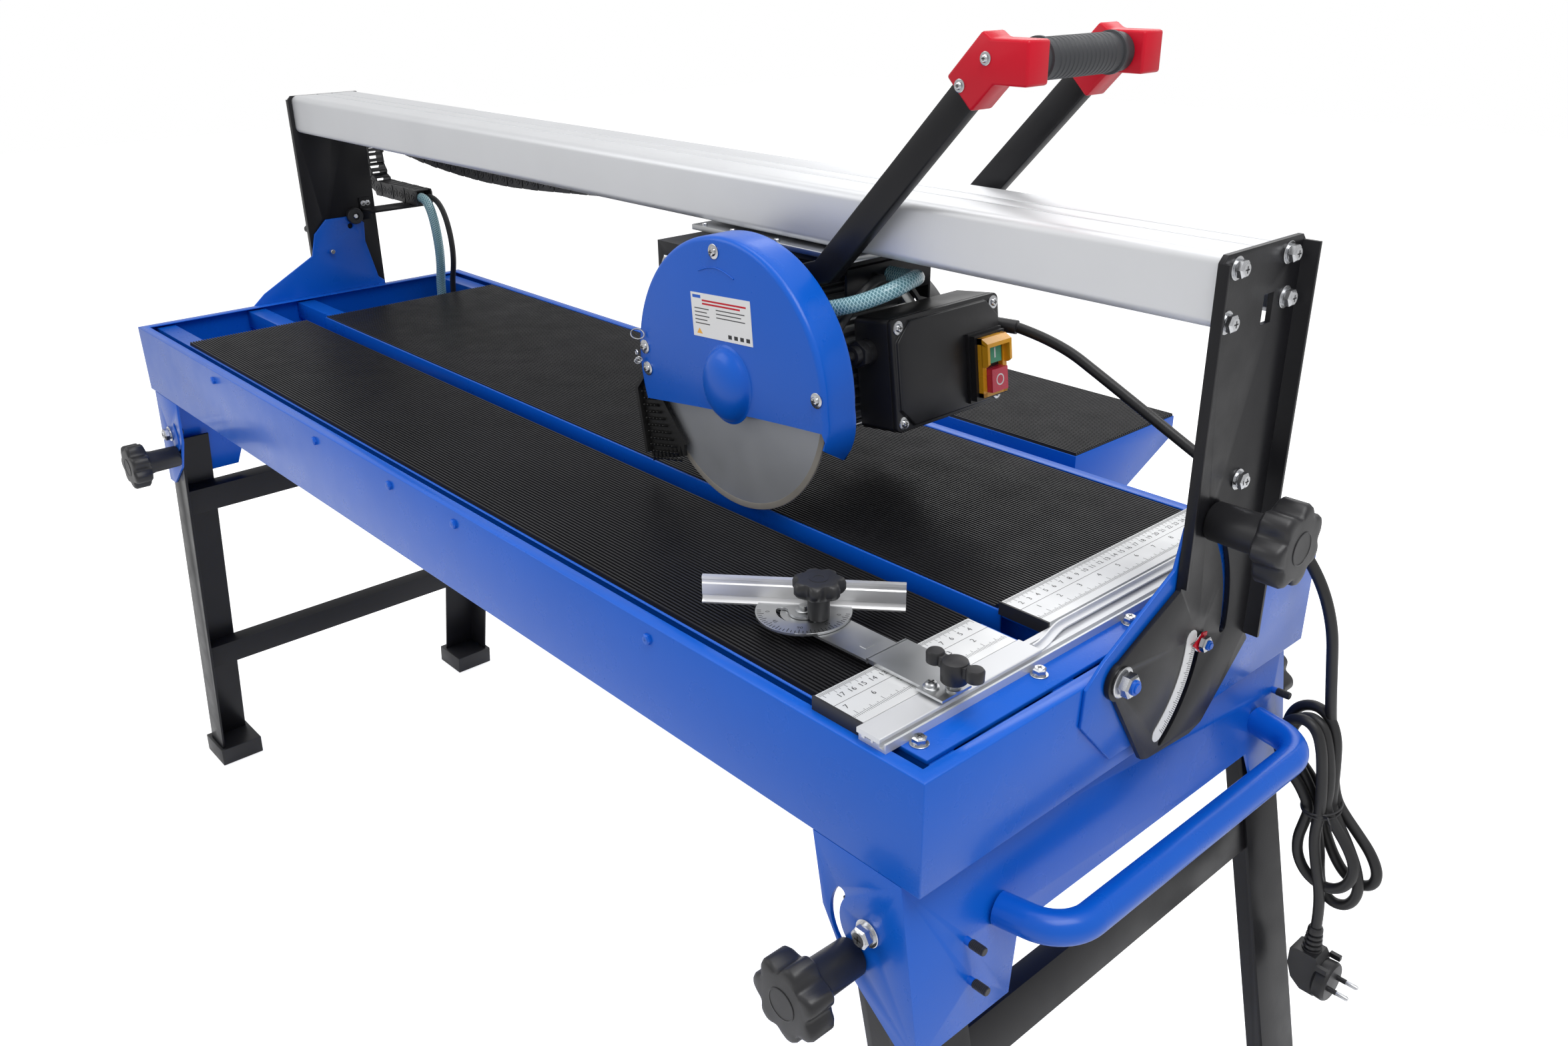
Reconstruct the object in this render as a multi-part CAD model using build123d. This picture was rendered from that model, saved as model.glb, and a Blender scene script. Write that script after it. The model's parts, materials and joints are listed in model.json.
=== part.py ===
"""Bridge-type wet tile saw: tray on folding legs, tilting rail, sliding and plunging cutting head.

Millimetres, +Z up. While it is designed, z = 0 is the tray's rim, x = 0 the tray's middle,
+X the operator's end and -Y the front. At the end everything moves so that the origin is
on the floor, under the middle of the saw.
"""
from build123d import *
from math import cos, pi, radians, sin, tan
import os

# --- tray and table -------------------------------------------------------
TRAY_HALF = 718.0
TRAY_FRONT, TRAY_REAR = -202.0, 287.0
TRAY_DEPTH = 88.0
SHEET = 2.0
RIM = 12.0
TABLE_TUBE = 24.0
TABLE_TUBE_Y = (-180.0, -54.0, 19.0, 246.0)
TUBE_TOP = -4.0
DECK = 2.0
MAT_TOP = 2.0
MAT_LEFT, MAT_RIGHT = -582.0, 602.0
FRONT_TABLE = (-180.0, -20.0)
REAR_TABLE = (4.0, 268.0)

# --- bevel hinge ----------------------------------------------------------
BLADE_Y = -8.0
PIVOT_Z = -5.0
BEVEL_PLATE = 3.0
POST_WEB_X = 722.0
POST_WEB = 4.0
CLAMP_SLOT_R = 134.0
CLAMP_ANGLE = 44.0
SCALE_SLOT_R = 101.0
POINTER_ANGLE = -4.0
BEVEL_RANGE = 45.0
POST_BOLTS = ((74, 270), (141, 270), (69, 235), (144, 239), (115, 112))

# --- rail -----------------------------------------------------------------
RAIL_Y = (62.0, 161.0)
RAIL_Z = (230.0, 280.0)
RAIL_WALL = 3.0
RAIL_SLOT = 40.0
RAIL_MID = (RAIL_Y[0] + RAIL_Y[1]) / 2

# --- cable chain ----------------------------------------------------------
CHAIN_Y = (206.0, 234.0)
CHAIN_LOW, CHAIN_HIGH = 127.0, 208.0
CHAIN_HEIGHT = 24.0
CHAIN_END_X, CHAIN_BEND_X, CHAIN_TO_X = -672.0, -788.0, 200.0

# --- cutting head ---------------------------------------------------------
ARBOR_X, ARBOR_Z = 318.0, 117.0
BLADE_R = 115.0
BLADE_THICK = 2.4
BORE_R = 12.7
GUARD_R = 124.0
GUARD_Y = (-22.0, 14.0)
GUARD_WALL = 2.0
MOTOR_R = 70.0
MOTOR_Y = (32.0, 168.0)
PLUNGE_X, PLUNGE_Z = 190.0, 196.0
YOKE_END = 386.0
FLAP_X, FLAP_Z = 208.0, 104.0

# --- switch box and handle ------------------------------------------------
BOX = (394.0, 440.0, 66.0, 205.0, 80.0, 178.0)
BOX_TILT = 7.0
BAR_Y = ((38.0, 50.0), (173.0, 185.0))
BAR_WIDTH = 24.0
GRIP = Vector(560, 112, 389)

# --- legs -----------------------------------------------------------------
FLOOR = -745.0
LEG_PIVOT_X, LEG_PIVOT_Z = 674.0, -143.0
LEG_LEAN = 12.5
LEG_WIDTH = 48.0
LEG_DEPTH = 54.0
LEG_SHEET = 3.0
LEG_Y = (-198.8, 283.8)
LEG_SLOT_R = 32.0
LEG_KNOB_ANGLE = 244.0
LEG_FOLD = 95.0
CROSSBAR_Z = (-262.0, -546.0)
KNOB_HUB, KNOB_HEAD = 42.0, 24.0

# --- extension table ------------------------------------------------------
EXT_X = (150.0, 452.0)
EXT_Y = (317.0, 493.0)
EXT_BAR = 22.0
EXT_BAR_X = (200.0, 402.0)
EXT_BAR_Z = -58.0

# --- fence ----------------------------------------------------------------
RULER_X = (611.0, 656.0)
CHANNEL_X = (656.0, 680.0)
RULER_TOP = 10.0
PLATE_X = (611.0, 702.0)
PROTRACTOR_PIVOT = (525.0, -121.0)
PROTRACTOR_CLAMP = (541.0, -121.0)
CLAMP_TOP = 46.0
WING_KNOB = (673.0, -124.0)
BAR_START, BAR_END = (457.0, -161.0), (572.0, -61.0)
BAR_TOP = 34.0

CORD_R = 4.8
HOSE_R = 7.0
CABLE_R = 4.2

SLEEVE_START = (421.0, 205.1, 148.0)
MAINS_ROUTE = ((446, 219, 147), (484, 227, 140), (532, 233, 115), (578, 238, 91), (626, 243, 66),
               (672, 247, 44), (712, 251, 20), (739, 255, -12), (754, 259, -52), (757, 266, -97),
               (757, 266, -136))
HEAD_HOSE_ROUTE = ((386, 112, 204), (406, 112, 204), (426, 104, 209), (439, 83, 213), (438, 60, 207),
                   (420, 40, 197), (397, 29, 190), (378, 25, 185), (360, 25, 185))
MOTOR_CABLE_ROUTE = ((406, 46, 148), (406, 36, 148), (404, 27, 157), (402, 32, 172), (402, 48, 186),
                     (405, 62, 202), (404, 80, 208), (397, 92, 204), (386, 92, 204))
PUMP_HOSE_ROUTE = ((-672, 215, 127), (-658, 215, 127), (-646, 217, 106), (-642, 219, 68),
                   (-646, 221, 30), (-658, 222, -4), (-658, 222, -36))
PUMP_CABLE_ROUTE = ((-672, 228, 127), (-654, 228, 127), (-633, 229, 110), (-620, 229, 76),
                    (-619, 229, 38), (-634, 229, 0), (-634, 229, -36))
PLUG = (787.0, 262.0, -345.0)

PARTS = {}


# --- small helpers --------------------------------------------------------
def keep(name, *solids):
    """File solids under one node."""
    PARTS.setdefault(name, []).extend(solids)


def block(x, y, z):
    """Box between pairs of limits."""
    size = [b - a for a, b in (x, y, z)]
    middle = [(a + b) / 2 for a, b in (x, y, z)]
    return Pos(*middle) * Box(*size)


def rod(start, end, radius):
    """Round bar between two points."""
    start, end = Vector(*start), Vector(*end)
    span = end - start
    return Plane(origin=start, z_dir=span) * Cylinder(
        radius, span.length, align=(Align.CENTER, Align.CENTER, Align.MIN))


def along_x(points, x0, x1):
    """Flat outline of (y, z) points, extruded from x0 to x1."""
    face = Plane(origin=(x0, 0, 0), x_dir=(0, 1, 0), z_dir=(1, 0, 0)) * make_face(
        Polyline(*points, close=True))
    return extrude(face, x1 - x0, dir=(1, 0, 0))


def along_y(points, y0, y1):
    """Flat outline of (x, z) points, extruded from y0 to y1."""
    face = Plane(origin=(0, y0, 0), x_dir=(1, 0, 0), z_dir=(0, -1, 0)) * make_face(
        Polyline(*points, close=True))
    return extrude(face, y1 - y0, dir=(0, 1, 0))


def along_z(points, z0, z1):
    """Flat outline of (x, y) points, extruded from z0 to z1."""
    face = Pos(0, 0, z0) * make_face(Polyline(*points, close=True))
    return extrude(face, z1 - z0, dir=(0, 0, 1))


def arc_slot(centre, radius, width, first, last, across):
    """Curved slot cutter around a centre, across one axis."""
    half = width / 2
    ring = Cylinder(radius + half, 20) - Cylinder(radius - half, 30)
    far = 3 * radius
    middle = radians((first + last) / 2)
    reach = radians((last - first) / 2)
    wedge = Pos(0, 0, -10) * extrude(make_face(Polyline(
        (0, 0), (far * cos(middle - reach), far * sin(middle - reach)),
        (far * cos(middle), far * sin(middle)),
        (far * cos(middle + reach), far * sin(middle + reach)), close=True)), 20)
    cutter = ring & wedge
    for angle in (radians(first), radians(last)):
        cutter += Pos(radius * cos(angle), radius * sin(angle)) * Cylinder(half, 20)
    plane = {"x": Plane(origin=centre, x_dir=(0, 1, 0), z_dir=(1, 0, 0)),
             "y": Plane(origin=centre, x_dir=(1, 0, 0), z_dir=(0, -1, 0)),
             "z": Plane(origin=centre)}[across]
    return plane * cutter


def polar(centre, radius, angle):
    """Point at an angle on a circle round a two-number centre."""
    return (centre[0] + radius * cos(radians(angle)), centre[1] + radius * sin(radians(angle)))


def mirror_x(solid):
    """The same solid at the other end of the saw."""
    return mirror(solid, about=Plane.YZ)


def bolt(start, direction, radius=4.0, head=3.0):
    """Hexagon bolt head with its washer on a surface."""
    plane = Plane(origin=start, z_dir=direction)
    hexagon = extrude(RegularPolygon(radius * 1.7, 6), head * 1.6)
    washer = Cylinder(radius * 2.1, 1.4, align=(Align.CENTER, Align.CENTER, Align.MIN))
    return plane * (washer + Pos(0, 0, 1.4) * hexagon)


def lobed_knob(start, direction, head_r=31.0, lobes=7, hub_r=16.0, hub=KNOB_HUB, head=KNOB_HEAD):
    """Moulded knob: round hub on the surface, lobed head beyond it."""
    plane = Plane(origin=start, z_dir=direction)
    crown = Pos(0, 0, hub) * Cylinder(head_r, head, align=(Align.CENTER, Align.CENTER, Align.MIN))
    bite = head_r * sin(pi / lobes) * 0.62
    for index in range(lobes):
        angle = 2 * pi * (index + 0.5) / lobes
        crown -= Pos((head_r + bite * 0.45) * cos(angle), (head_r + bite * 0.45) * sin(angle),
                     hub + head / 2) * Cylinder(bite, head + 2)
    stem = Cylinder(hub_r, hub, align=(Align.CENTER, Align.CENTER, Align.MIN))
    return plane * (crown + stem)


def corner_radii(points):
    """Arc radius for each corner of a cord's route: 0.45 of the shorter run over tan(half turn)."""
    radii = []
    for before, here, after in zip(points, points[1:], points[2:]):
        first, second = Vector(*here) - Vector(*before), Vector(*after) - Vector(*here)
        half_turn = radians(first.get_angle(second)) / 2
        radii.append(0.45 * min(first.length, second.length) / tan(half_turn))
    return radii


def cord(name, points, radius):
    """Round cord along straight runs joined by tangent arcs."""
    radii = corner_radii(points)
    path = FilletPolyline(*points, radius=radii)
    start = Vector(*points[1]) - Vector(*points[0])
    solid = sweep(Plane(origin=points[0], z_dir=start) * Circle(radius), path=path)
    expected = pi * radius ** 2 * path.length
    print(f"{name}: length {path.length:.0f}, volume ratio {solid.volume / expected:.4f},",
          "radii", " ".join(f"{value:.0f}" for value in radii))
    keep(name, solid)


# --- base -----------------------------------------------------------------
def tray():
    """Folded sheet pan, open on top, with a rim folded inwards."""
    outer = block((-TRAY_HALF, TRAY_HALF), (TRAY_FRONT, TRAY_REAR), (-TRAY_DEPTH, 0))
    inner = block((-TRAY_HALF + SHEET, TRAY_HALF - SHEET), (TRAY_FRONT + SHEET, TRAY_REAR - SHEET),
                  (-TRAY_DEPTH + SHEET, -SHEET))
    mouth = block((-TRAY_HALF + RIM, TRAY_HALF - RIM), (TRAY_FRONT + RIM, TRAY_REAR - RIM),
                  (-SHEET - 1, 1))
    pan = outer - inner - mouth
    for x in EXT_BAR_X:
        pan += block((x - 3.3, x + EXT_BAR + 3.3), (TRAY_REAR - SHEET, TRAY_REAR + 24),
                     (EXT_BAR_Z - 3.3, EXT_BAR_Z + EXT_BAR + 3.3))
        pan -= block((x - 0.3, x + EXT_BAR + 0.3), (TRAY_REAR - 5, TRAY_REAR + 30),
                     (EXT_BAR_Z - 0.3, EXT_BAR_Z + EXT_BAR + 0.3))
    keep("tray", pan)


def table():
    """Tubes across the tray, two decks with folded edges at the blade slot, ribbed mats."""
    inside = TRAY_HALF - SHEET
    for y in TABLE_TUBE_Y:
        outer = block((-inside, inside), (y, y + TABLE_TUBE), (TUBE_TOP - TABLE_TUBE, TUBE_TOP))
        hollow = block((-inside, inside), (y + 2, y + TABLE_TUBE - 2),
                       (TUBE_TOP - TABLE_TUBE + 2, TUBE_TOP - 2))
        keep("table_frame", outer - hollow)
    deck_top = TUBE_TOP + DECK
    deck_x = (MAT_LEFT, PLATE_X[0] - 1)
    front = block(deck_x, (FRONT_TABLE[0] - 2, FRONT_TABLE[1]), (TUBE_TOP, deck_top))
    front += block(deck_x, (FRONT_TABLE[1] - DECK, FRONT_TABLE[1]), (-22, deck_top))
    rear = block(deck_x, REAR_TABLE, (TUBE_TOP, deck_top))
    rear += block(deck_x, (REAR_TABLE[0], REAR_TABLE[0] + DECK), (-18, MAT_TOP - 1))
    keep("table_frame", front, rear)
    keep("table_mats", block((MAT_LEFT, MAT_RIGHT), (FRONT_TABLE[0], FRONT_TABLE[1] - DECK),
                            (deck_top, MAT_TOP)))
    keep("table_mats", block((MAT_LEFT, MAT_RIGHT), (REAR_TABLE[0] + DECK, REAR_TABLE[1]),
                           (deck_top, MAT_TOP)))


def fence():
    """Screw plate, two ruler bars and the aluminium channel that guides the protractor."""
    plate = block(PLATE_X, (-182, 268), (TUBE_TOP, 0))
    plate -= block((PLATE_X[0] - 1, PLATE_X[0] + 50), (FRONT_TABLE[1], REAR_TABLE[0]), (-9, 1))
    keep("fence_plate", plate)
    for y in ((-192, -36), (2, 265)):
        bar = block(RULER_X, y, (0, RULER_TOP))
        bar -= block((RULER_X[0] + 6, RULER_X[1] - 4), (y[0] - 1, y[1] + 1), (2, RULER_TOP - 3))
        keep("fence_rulers", bar)
    channel = block(CHANNEL_X, (-196, 266), (0, RULER_TOP))
    channel -= block((CHANNEL_X[0] + 3, CHANNEL_X[1] - 6), (-200, 270), (2, RULER_TOP - 2))
    channel -= block((CHANNEL_X[0] + 8, CHANNEL_X[1] - 12), (-200, 270), (2, RULER_TOP + 1))
    keep("fence_rulers", channel)
    for y in (-172, -49, 60, 180):
        keep("base_bolts", bolt((CHANNEL_X[1] + 6.5, y, 0), (0, 0, 1), radius=2.5))


def bevel_hinge():
    """Plates on the tray's ends with the pivot bolts, the clamp studs and the pointer."""
    pivot = (BLADE_Y, PIVOT_Z)
    outline = ((-42, -1), (-44, -30), (-4, -74), (150, -76), (161, -44), (161, 4), (152, 11),
               (139, 67), (141, 94), (129, 106), (83, 106), (63, 87), (55, 57), (-24, 14))
    stud_y, stud_z = polar(pivot, CLAMP_SLOT_R, CLAMP_ANGLE)
    mark_y, mark_z = polar(pivot, SCALE_SLOT_R, POINTER_ANGLE)
    face = TRAY_HALF + BEVEL_PLATE
    outside = POST_WEB_X + POST_WEB
    plate = along_x(outline, TRAY_HALF, face)
    plate -= rod((TRAY_HALF - 1, 119, 92), (face + 1, 119, 92), 4)
    right_pivot = rod((face, *pivot), (outside + 0.5, *pivot), 5.9)
    right_pivot += rod((outside + 0.5, *pivot), (outside + 2, *pivot), 11)
    right_pivot += Pos(outside + 2, *pivot) * Rot(0, 90, 0) * extrude(RegularPolygon(9.5, 6), 9)
    for turn, side in ((lambda s: s, "right"), (mirror_x, "left")):
        stud = rod((face, stud_y, stud_z), (outside + 30, stud_y, stud_z), 4.0)
        keep("bevel_plates", turn(plate))
        keep("bevel_plates", turn(stud))
        keep("base_bolts", turn(right_pivot))
        if side == "right":
            knob = lobed_knob((outside + 0.5, stud_y, stud_z), (1, 0, 0))
            bore = rod((outside, stud_y, stud_z), (outside + 31, stud_y, stud_z), 4.05)
            keep("bevel_knob_right", knob - bore)
    left_knob = lobed_knob((-outside - 0.5, stud_y, stud_z), (-1, 0, 0), head_r=22, lobes=8,
                           hub_r=12, hub=22, head=18)
    keep("bevel_knob_left", left_knob - rod((-outside, stud_y, stud_z),
                                            (-outside - 31, stud_y, stud_z), 4.05))
    pin = rod((face, mark_y, mark_z), (outside + 10, mark_y, mark_z), 2.5)
    nut = Pos(outside + 2, mark_y, mark_z) * Rot(0, 90, 0) * extrude(RegularPolygon(6.5, 6), 5)
    keep("base_bolts", pin + nut)


def carry_handle():
    """Bent tube on the right end for lifting the saw."""
    route = FilletPolyline(*handle_route(), radius=34)
    bar = sweep(Plane(origin=route @ 0, z_dir=route % 0) * Circle(12.5), path=route)
    keep("carry_handle", bar - end_plate())


def handle_route():
    """Corners of the carry handle's centreline."""
    z = LEG_PIVOT_Z - 9
    return ((bracket_x(z) + 0.5, -110, z), (762, -100, z), (762, 228, z), (bracket_x(z) + 0.5, 238, z))


def bracket_x(z):
    """Outer face of the leaning end plate at a height."""
    return 702 + 20 * (-89 - z) / 136


def end_plate():
    """Leaning end plate under the tray's right end, deeper at its two ends."""
    thick = 3.0
    slab = along_y(((702, -88), (722, -225), (722 - thick, -225), (702 - thick, -88)),
                   TRAY_FRONT, TRAY_REAR)
    window = along_x(((-90, -178), (223, -178), (240, -230), (-107, -230)), 680, 740)
    return slab - window


def end_brackets():
    """Aprons under the tray's ends: end plate and two cheeks that hold the legs."""
    cheek_outline = ((620, -88), (630, -145), (655, -188), (702, -225), (719, -225), (699, -88))
    right = end_plate()
    for y in (TRAY_FRONT, TRAY_REAR - 3):
        cheek = along_y(cheek_outline, y, y + 3)
        cheek -= rod((LEG_PIVOT_X, y - 1, LEG_PIVOT_Z), (LEG_PIVOT_X, y + 4, LEG_PIVOT_Z), 5.1)
        cheek -= arc_slot((LEG_PIVOT_X, y + 1.5, LEG_PIVOT_Z), LEG_SLOT_R, 9.0,
                          LEG_KNOB_ANGLE - LEG_FOLD - 2, LEG_KNOB_ANGLE + 2, "y")
        right += cheek
    for y, z in ((-145, -159), (-145, -191), (268, -135)):
        right += rod((bracket_x(z) - 2, y, z), (bracket_x(z) + 16, y, z), 3)
    keep("end_brackets", right, mirror_x(right))


def leg_frame(side):
    """Two L-section legs with two cross bars, feet, bolts and knobs, at the right or left end."""
    turn = (lambda s: s) if side == "right" else mirror_x
    lean = Pos(LEG_PIVOT_X, 0, LEG_PIVOT_Z) * Rot(0, -LEG_LEAN, 0)
    half = LEG_WIDTH / 2
    length = (LEG_PIVOT_Z - FLOOR) / cos(radians(LEG_LEAN)) + 20
    floor_cut = block((400, 1000), (-400, 400), (FLOOR + 4, 0))
    for y, inward, tag in ((LEG_Y[0], 1, "front"), (LEG_Y[1], -1, "rear")):
        far = y + inward * LEG_DEPTH
        web_y = (min(y, far), max(y, far))
        skin = y + inward * LEG_SHEET
        flange_y = (min(y, skin), max(y, skin))
        web = block((half - LEG_SHEET, half), web_y, (-length, -26))
        flange = block((-half, half), flange_y, (-length, 18))
        leg = lean * (web + flange)
        knob_y = TRAY_FRONT if inward > 0 else TRAY_REAR
        knob_x, knob_z = polar((LEG_PIVOT_X, LEG_PIVOT_Z), LEG_SLOT_R, LEG_KNOB_ANGLE)
        leg -= rod((LEG_PIVOT_X, y - 5, LEG_PIVOT_Z), (LEG_PIVOT_X, y + 5, LEG_PIVOT_Z), 5.1)
        leg &= floor_cut
        stud = rod((knob_x, y, knob_z), (knob_x, knob_y - inward * 12, knob_z), 3.5)
        keep(f"{side}_legs", turn(leg + stud))
        foot_x = LEG_PIVOT_X + (LEG_PIVOT_Z - FLOOR) * tan(radians(LEG_LEAN))
        foot = along_y(((foot_x - 34, FLOOR), (foot_x + 34, FLOOR), (foot_x + 30, FLOOR + 30),
                        (foot_x - 38, FLOOR + 30)), web_y[0] - 5, web_y[1] + 5)
        keep(f"{side}_feet", turn(foot - leg))
        knob = lobed_knob((knob_x, knob_y - inward * 0.5, knob_z), (0, -inward, 0))
        bore = rod((knob_x, knob_y, knob_z), (knob_x, knob_y - inward * 13, knob_z), 3.55)
        keep(f"leg_knob_{side}_{tag}", turn(knob - bore))
        reach = y + inward * (LEG_SHEET + 9)
        pin = rod((LEG_PIVOT_X, knob_y - inward * 0.2, LEG_PIVOT_Z), (LEG_PIVOT_X, reach, LEG_PIVOT_Z), 5)
        head = bolt((LEG_PIVOT_X, knob_y, LEG_PIVOT_Z), (0, -inward, 0), radius=5)
        nut = Plane(origin=(LEG_PIVOT_X, y + inward * (LEG_SHEET + 0.3), LEG_PIVOT_Z),
                    z_dir=(0, inward, 0)) * extrude(RegularPolygon(9, 6), 7)
        keep("base_bolts", turn(pin + head + nut))
    for z in CROSSBAR_Z:
        drop = (LEG_PIVOT_Z - z) / cos(radians(LEG_LEAN))
        outer = block((half - LEG_SHEET - 20, half - LEG_SHEET), (LEG_Y[0] + 4, LEG_Y[1] - 4),
                      (-drop - 20, -drop + 20))
        hollow = block((half - LEG_SHEET - 18, half - LEG_SHEET - 2), (LEG_Y[0], LEG_Y[1]),
                       (-drop - 18, -drop + 18))
        keep(f"{side}_legs", turn(lean * (outer - hollow)))


def extension():
    """Side table on two square bars that slide through the tray's rear wall."""
    top = block(EXT_X, EXT_Y, (-24, -2)) - block((EXT_X[0] + 2, EXT_X[1] - 2),
                                               (EXT_Y[0] + 2, EXT_Y[1] - 2), (-30, -4))
    frame = top
    cheek = ((EXT_Y[0], -24), (EXT_Y[1], -24), (EXT_Y[0] + 96, -62), (EXT_Y[0], -62))
    for x in (EXT_X[0], EXT_X[1] - 2):
        frame += along_x(cheek, x, x + 2)
    frame += block((EXT_X[0], EXT_X[1]), (EXT_Y[0], EXT_Y[0] + 2), (-62, -20))
    for x in EXT_BAR_X:
        outer = block((x, x + EXT_BAR), (60, EXT_Y[1] - 84), (EXT_BAR_Z, EXT_BAR_Z + EXT_BAR))
        hollow = block((x + 2, x + EXT_BAR - 2), (50, EXT_Y[1] - 80),
                       (EXT_BAR_Z + 2, EXT_BAR_Z + EXT_BAR - 2))
        frame += outer
        frame -= hollow
    keep("extension_frame", frame)
    keep("extension_mat", block((EXT_X[0] + 1, EXT_X[1] - 1), (EXT_Y[0] + 1, EXT_Y[1] - 1), (-2, 1)))


def protractor():
    """Bracket that slides on the fence, swivelling head with its upright bar, and their two knobs."""
    low, high = RULER_TOP + 0.3, RULER_TOP + 2.3
    pivot_x, pivot_y = PROTRACTOR_PIVOT
    clamp_x, clamp_y = PROTRACTOR_CLAMP
    wing_x, wing_y = WING_KNOB
    bracket = block((606, 678), (-138, -96), (low, high))
    bracket += block((pivot_x, 607), (pivot_y - 17.5, pivot_y + 17.5), (low, high))
    bracket += Pos(pivot_x, pivot_y, low + 1) * Cylinder(17.5, 2)
    bracket += rod((pivot_x, pivot_y, high), (pivot_x, pivot_y, high + 8), 4)
    bracket += rod((clamp_x, clamp_y, high), (clamp_x, clamp_y, CLAMP_TOP), 4)
    bracket += rod((wing_x, wing_y, high), (wing_x, wing_y, high + 24), 4)
    for y in (-133, -101):
        bracket += bolt((661, y, high), (0, 0, 1), radius=2.5)
    keep("protractor_bracket", bracket)
    wing = Pos(wing_x, wing_y, high + 17) * Cylinder(10, 15)
    for shift in (-16, 16):
        wing += Pos(wing_x + shift, wing_y, high + 20) * Cylinder(6.5, 9)
        wing += Pos(wing_x + shift / 2, wing_y, high + 20) * Box(16, 8, 8)
    keep("protractor_wing_knob", wing - rod((wing_x, wing_y, high), (wing_x, wing_y, high + 24.2), 4.1))
    floor = high + 0.3
    along = (Vector(*BAR_END) - Vector(*BAR_START)).normalized()
    toward = Vector(along.Y, -along.X)
    behind = Vector(*BAR_START) - along * 60 - toward * 120
    corner = Vector(*BAR_START) - along * 60
    disc = Pos(pivot_x, pivot_y, floor + 1) * Cylinder(36, 2)
    far = (behind, corner, corner + along * 300, behind + along * 300)
    disc -= along_z([(p.X, p.Y) for p in far], floor - 1, floor + 3)
    disc -= arc_slot((pivot_x, pivot_y, floor + 1), clamp_x - pivot_x, 9.6, -133, 20, "z")
    disc -= Pos(pivot_x, pivot_y, floor) * Cylinder(4.1, 10)
    start, end = Vector(*BAR_START), Vector(*BAR_END)
    for depth, top in ((7, floor + 2), (3, BAR_TOP)):
        strip = (start, end, end + toward * depth, start + toward * depth)
        disc += along_z([(p.X, p.Y) for p in strip], floor, top)
    keep("protractor_head", disc)
    knob = lobed_knob((clamp_x, clamp_y, floor + 2.2), (0, 0, 1), head_r=20, lobes=7, hub_r=9, hub=20,
                      head=12)
    keep("protractor_knob", knob - rod((clamp_x, clamp_y, floor), (clamp_x, clamp_y, CLAMP_TOP + 0.2), 4.1))


def water_supply():
    """Pump lying in the tray beside the table, with its spigot and cable gland."""
    floor = -TRAY_DEPTH + SHEET
    body = fillet(block((-694, -622), (203, 243), (floor, -46)).edges().filter_by(Axis.Z), 6)
    body += rod((*PUMP_HOSE_ROUTE[-1][:2], -46), PUMP_HOSE_ROUTE[-1], 8)
    body += rod((*PUMP_CABLE_ROUTE[-1][:2], -46), PUMP_CABLE_ROUTE[-1], 6)
    keep("water_pump", body)


# --- bridge ---------------------------------------------------------------
def rail():
    """Hollow aluminium rail, slotted along its underside for the carriage."""
    middle_y, middle_z = RAIL_MID, sum(RAIL_Z) / 2
    width, height = RAIL_Y[1] - RAIL_Y[0], RAIL_Z[1] - RAIL_Z[0]
    plane = Plane(origin=(-POST_WEB_X, middle_y, middle_z), x_dir=(0, 1, 0), z_dir=(1, 0, 0))
    section = RectangleRounded(width, height, 8)
    section -= RectangleRounded(width - 2 * RAIL_WALL, height - 2 * RAIL_WALL, 5)
    section -= Pos(0, -height / 2) * Rectangle(RAIL_SLOT, 3 * RAIL_WALL)
    for y in (100.0, 122.0):
        section -= Pos(y - middle_y, height / 2) * Rectangle(2.2, 1.6)
    keep("rail", extrude(plane * section, 2 * POST_WEB_X, dir=(1, 0, 0)))


def post(side):
    """Black sheet channel that hangs on the pivot bolt and carries the rail's end."""
    pivot = (BLADE_Y, PIVOT_Z)
    x0, x1 = POST_WEB_X, POST_WEB_X + POST_WEB
    outline = ((62, 280), (57, 275), (57, 42), (-13, 8), (-21, -6), (31, -88), (39, -91), (97, -95),
               (113, -91), (168, -38), (163, -30), (163, 276), (159, 280))
    web = along_x(outline, x0, x1)
    web += rod((x0, *pivot), (x1, *pivot), 15)
    flanges = block((x1, x1 + 4), (57, 60), (44, 275))
    flanges += block((x1, x1 + 12), (160, 163), (-30, 276))
    body = web + flanges
    body -= rod((x0 - 1, *pivot), (x1 + 1, *pivot), 6)
    body -= arc_slot((x0 + 2, *pivot), CLAMP_SLOT_R, 9.4, CLAMP_ANGLE - BEVEL_RANGE - 2,
                     CLAMP_ANGLE + 2, "x")
    body -= arc_slot((x0 + 2, *pivot), SCALE_SLOT_R, 6.4, POINTER_ANGLE - BEVEL_RANGE - 2,
                     POINTER_ANGLE + 2, "x")
    body -= block((x0 - 1, x1 + 1), (116, 129), (224, 245))
    keep(f"{side}_post", body if side == "right" else mirror_x(body))
    for y, z in POST_BOLTS:
        head = bolt((x1, y, z), (1, 0, 0), radius=3.6)
        keep("rail_bolts", head if side == "right" else mirror_x(head))


def chain_bracket():
    """Small bracket on the left post that holds the cable chain's fixed end."""
    inside = -POST_WEB_X
    plate = block((inside, inside + 3), (139, 156), (98, 130))
    shelf = block((inside, inside + 38), (139, CHAIN_Y[1]), (CHAIN_LOW - 15, CHAIN_LOW - 12))
    keep("left_post", plate + shelf)


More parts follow.
